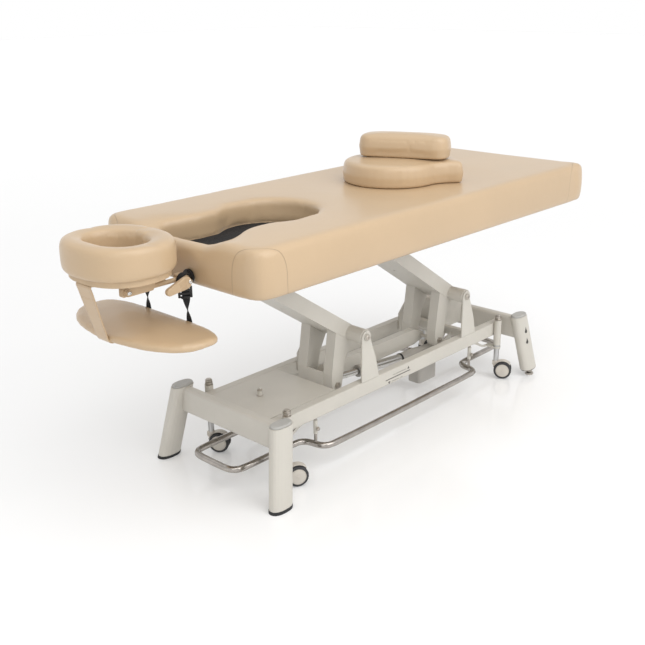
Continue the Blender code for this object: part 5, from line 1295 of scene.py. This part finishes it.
class MASSAGE_OT_control_box_trim(bpy.types.Operator):
    """Adds the mains inlet's shroud and pins, the cover's screws and the cooling ribs of the control box."""

    bl_idname = "massage.control_box_trim"
    bl_label = "Control box trim"

    def execute(self, context):
        low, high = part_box("control_box")
        middle = (low.y + high.y) / 2
        inlet = Vector((high.x, middle, 0.2555))
        half = Vector((0.00725, 0.0011, 0.0020))
        pins = []
        for y, z in ((-0.0070, -0.0018), (0.0070, -0.0018), (0.0, 0.0030)):
            pin = inlet + Vector((-0.01125, y, z))
            pins.append(block(pin - half, pin + half, 0.0003, 1))
        settle(join(pins), "inlet_pins", "chrome", "base")
        rim = block(inlet + Vector((0.0001, -0.0185, -0.0145)), inlet + Vector((0.0021, 0.0185, 0.0145)), 0.0008)
        settle(notch(rim, inlet, (0.02, 0.0292, 0.0212)), "inlet_rim", "black", "base")
        ribs = []
        for step in range(9):
            y = low.y + 0.028 + step * 0.0105
            start = (low.x + 0.025, y, high.z - 0.0002)
            ribs.append(block(start, (high.x - 0.025, y + 0.0038, high.z + 0.0016), 0.0007))
        settle(join(ribs), "box_ribs", "box", "base")
        screw = socket_screw(0.0034, 0.0018)
        screws = [
            another(screw, Matrix.Translation((x, y, high.z + 0.0001)))
            for x in (low.x + 0.013, high.x - 0.013) for y in (low.y + 0.013, high.y - 0.013)
        ]
        discard(screw)
        settle(join(screws), "box_screws", "zinc", "base")
        return {"FINISHED"}


class MASSAGE_OT_marks(bpy.types.Operator):
    """Lays the plain up and down marks on the near rail and on the near foot leg."""

    bl_idname = "massage.marks"
    bl_label = "Direction marks"

    def execute(self, context):
        thick, gap = 0.00035, 0.00005
        upright = Matrix.Rotation(math.pi / 2, 4, "X")
        parts = []

        def bar(first, last, z, tall):
            start = (first + SHIFT, RAIL_FACE - thick, z - tall / 2)
            parts.append(block(start, (last + SHIFT, RAIL_FACE - gap, z + tall / 2), 0.0001, 1))

        def arrow(x, z, spin):
            bpy.ops.mesh.primitive_cylinder_add(vertices=3, radius=0.0072, depth=thick)
            place = Matrix.Translation((x + SHIFT, RAIL_FACE - thick / 2 - gap, z)) @ upright
            parts.append(place_in_mesh(context.active_object, place @ Matrix.Rotation(spin, 4, "Z")))

        bar(-0.1000, 0.0480, 0.2114, 0.0032)
        bar(-0.0400, 0.0230, 0.2228, 0.0014)
        bar(-0.0560, -0.0450, 0.2228, 0.0014)
        arrow(0.0370, 0.2235, 0.0)
        bar(-0.0640, -0.0200, 0.1985, 0.0014)
        bar(-0.0130, 0.0020, 0.1985, 0.0014)
        arrow(-0.0790, 0.1985, -math.pi)
        settle(join(parts), "rail_marks", "mark", "base")

        drops = []
        for x, z in ((0.7230 + SHIFT, 0.2135), (0.7275 + SHIFT, 0.1655)):
            bpy.ops.mesh.primitive_circle_add(vertices=28, radius=DROP_RADIUS, fill_type="TRIFAN")
            drop = context.active_object
            for vertex in drop.data.vertices:
                if vertex.co.y > 0:
                    share = vertex.co.y / DROP_RADIUS
                    vertex.co.x *= 1 - share ** 1.4
                    vertex.co.y *= 1 + share * 1.6
            place_in_mesh(drop, Matrix.Translation((x, -0.31, z - 0.006)) @ upright)
            modify(drop, "SUBSURF", subdivision_type="SIMPLE", levels=2, render_levels=2)
            modify(
                drop, "SHRINKWRAP", target=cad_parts["leg_foot_near"], wrap_method="PROJECT",
                use_negative_direction=True, use_positive_direction=True, use_project_y=True, offset=0.0003,
            )
            drops.append(shaped(drop, "SOLIDIFY", thickness=0.0002))
        settle(join(drops), "leg_marks", "mark", "base")
        return {"FINISHED"}


class MASSAGE_OT_frame_finishes(bpy.types.Operator):
    """Gives every rigid part of the frame its own finish."""

    bl_idname = "massage.frame_finishes"
    bl_label = "Frame finishes"

    finishes = {
        "actuator": "motor", "actuator_rod": "chrome", "control_bar": "tube", "control_box": "box", "deck": "board",
        "cradle_base": "cradle", "cam_lever": "cradle", "face_board": "cradle",
    }
    groups = {
        "leg_cap_": "cap", "shoe_": "shoe", "levelling_foot_": "zinc", "cradle_socket_": "black", "fork_": "caster",
        "wheel_": "tread", "strap_": "webbing",
    }

    def execute(self, context):
        for name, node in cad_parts.items():
            key = self.finishes.get(name)
            if key is None:
                key = next((value for start, value in self.groups.items() if name.startswith(start)), "paint")
            if not node.material_slots:
                node.data.materials.append(None)
            for place in node.material_slots:
                place.material = material(key)
        return {"FINISHED"}


# Studio

class MASSAGE_OT_studio(bpy.types.Operator):
    """Sets the pale floor, the soft lamps and the camera at the photograph's view."""

    bl_idname = "massage.studio"
    bl_label = "Studio"

    def execute(self, context):
        scene = context.scene
        studio = scene.massage_studio
        bpy.ops.mesh.primitive_plane_add(size=60, location=(0, 0, 0))
        floor = context.active_object
        floor.name = "floor"
        book = Book("studio_floor")
        cloud = book.noise(3.0, 2.0, 0.5)
        base = book.mixed(cloud, tint(studio.floor, 0.99), studio.floor)
        book.put(book.shader.inputs["Emission Color"], base)
        book.shader.inputs["Emission Strength"].default_value = studio.glow
        floor.data.materials.append(book.finish(base, 0.10 + cloud * 0.03))

        world = bpy.data.worlds.new("studio")
        world.use_nodes = True
        ground = world.node_tree.nodes["Background"]
        links = world.node_tree.links
        place = world.node_tree.nodes.new("ShaderNodeTexCoord")
        parts = world.node_tree.nodes.new("ShaderNodeSeparateXYZ")
        ramp = world.node_tree.nodes.new("ShaderNodeValToRGB")
        links.new(place.outputs["Generated"], parts.inputs[0])
        links.new(parts.outputs["Z"], ramp.inputs[0])
        links.new(ramp.outputs[0], ground.inputs["Color"])
        stops = ramp.color_ramp.elements
        stops[0].position, stops[1].position = 0.16, 0.95
        stops[0].color = stops[1].color = (1.0, 1.0, 1.0, 1.0)
        for height, level in ((0.36, 0.74), (0.60, 0.74), (0.78, 1.0)):
            stops.new(height).color = (level, level, level, 1.0)
        ground.inputs["Strength"].default_value = studio.sky
        scene.world = world

        def lamp(name, place, target, width, high, power, tone):
            data = bpy.data.lights.new(name, "AREA")
            data.shape = "RECTANGLE"
            data.size = width
            data.size_y = high
            data.energy = power
            data.color = tone
            item = bpy.data.objects.new(name, data)
            scene.collection.objects.link(item)
            item.location = place
            item.rotation_euler = (Vector(target) - Vector(place)).to_track_quat("-Z", "Y").to_euler()

        lamp("key_lamp", (-0.5, -2.4, 4.4), (0.1, 0.0, 0.5), 4.5, 3.0, studio.key, (1.0, 0.99, 0.97))
        lamp("fill_lamp", (-4.0, -2.6, 2.9), (-0.3, 0.0, 0.6), 2.5, 2.0, studio.fill * 0.28, (1.0, 1.0, 1.0))
        lamp("near_lamp", (0.4, -4.4, 3.1), (0.0, 0.0, 0.5), 4.5, 2.5, studio.fill, (1.0, 0.995, 0.985))

        pitch, yaw, roll = (math.radians(angle) for angle in CAMERA_ANGLES)
        ahead = Vector((math.cos(pitch) * math.cos(yaw), math.cos(pitch) * math.sin(yaw), -math.sin(pitch)))
        level = Vector((math.sin(yaw), -math.cos(yaw), 0))
        rise = level.cross(ahead)
        right = level * math.cos(roll) + rise * math.sin(roll)
        up = rise * math.cos(roll) - level * math.sin(roll)
        turn = Matrix((right, up, -ahead)).transposed().to_4x4()
        data = bpy.data.cameras.new("camera")
        data.sensor_width = SENSOR
        data.lens = FOCAL / PHOTO_WIDTH * SENSOR
        data.clip_end = 100
        camera = bpy.data.objects.new("camera", data)
        scene.collection.objects.link(camera)
        camera.matrix_world = Matrix.Translation(CAMERA_PLACE) @ turn
        scene.camera = camera
        scene.view_settings.view_transform = "Standard"
        return {"FINISHED"}


class MASSAGE_PT_panel(bpy.types.Panel):
    """Lists the table's sizes, colours and pieces."""

    bl_label = "Massage table"
    bl_idname = "MASSAGE_PT_panel"
    bl_space_type = "VIEW_3D"
    bl_region_type = "UI"
    bl_category = "Massage table"

    def draw(self, context):
        layout = self.layout
        for title, group in (
            ("Colours", context.scene.massage_colours), ("Sizes", context.scene.massage_sizes),
            ("Studio", context.scene.massage_studio),
        ):
            box = layout.box()
            box.label(text=title)
            for name in group.__annotations__:
                box.prop(group, name)
        box = layout.box()
        box.label(text="Pieces")
        for step in STEPS:
            box.operator(step.bl_idname)


STEPS = (
    MASSAGE_OT_studio,
    MASSAGE_OT_frame_finishes,
    MASSAGE_OT_tabletop,
    MASSAGE_OT_face_cushion,
    MASSAGE_OT_shelf,
    MASSAGE_OT_loose_cushions,
    MASSAGE_OT_cutout_floor,
    MASSAGE_OT_front_strap,
    MASSAGE_OT_webbing,
    MASSAGE_OT_casters,
    MASSAGE_OT_lever,
    MASSAGE_OT_pivot_screws,
    MASSAGE_OT_foot_bar,
    MASSAGE_OT_base_fittings,
    MASSAGE_OT_socket_trim,
    MASSAGE_OT_control_box_trim,
    MASSAGE_OT_marks,
)
GROUPS = (("massage_colours", MassageColours), ("massage_sizes", MassageSizes), ("massage_studio", MassageStudio))


def register():
    for name, group in GROUPS:
        bpy.utils.register_class(group)
        setattr(bpy.types.Scene, name, bpy.props.PointerProperty(type=group))
    for step in STEPS:
        bpy.utils.register_class(step)
    bpy.utils.register_class(MASSAGE_PT_panel)


def unregister():
    bpy.utils.unregister_class(MASSAGE_PT_panel)
    for step in reversed(STEPS):
        bpy.utils.unregister_class(step)
    for name, group in reversed(GROUPS):
        delattr(bpy.types.Scene, name)
        bpy.utils.unregister_class(group)


def main():
    register()
    clear_selection()
    for step in STEPS:
        clear_selection()
        group, name = step.bl_idname.split(".")
        getattr(getattr(bpy.ops, group), name)()
    clear_selection()
    bpy.context.view_layer.update()


if __name__ == "__main__":
    main()
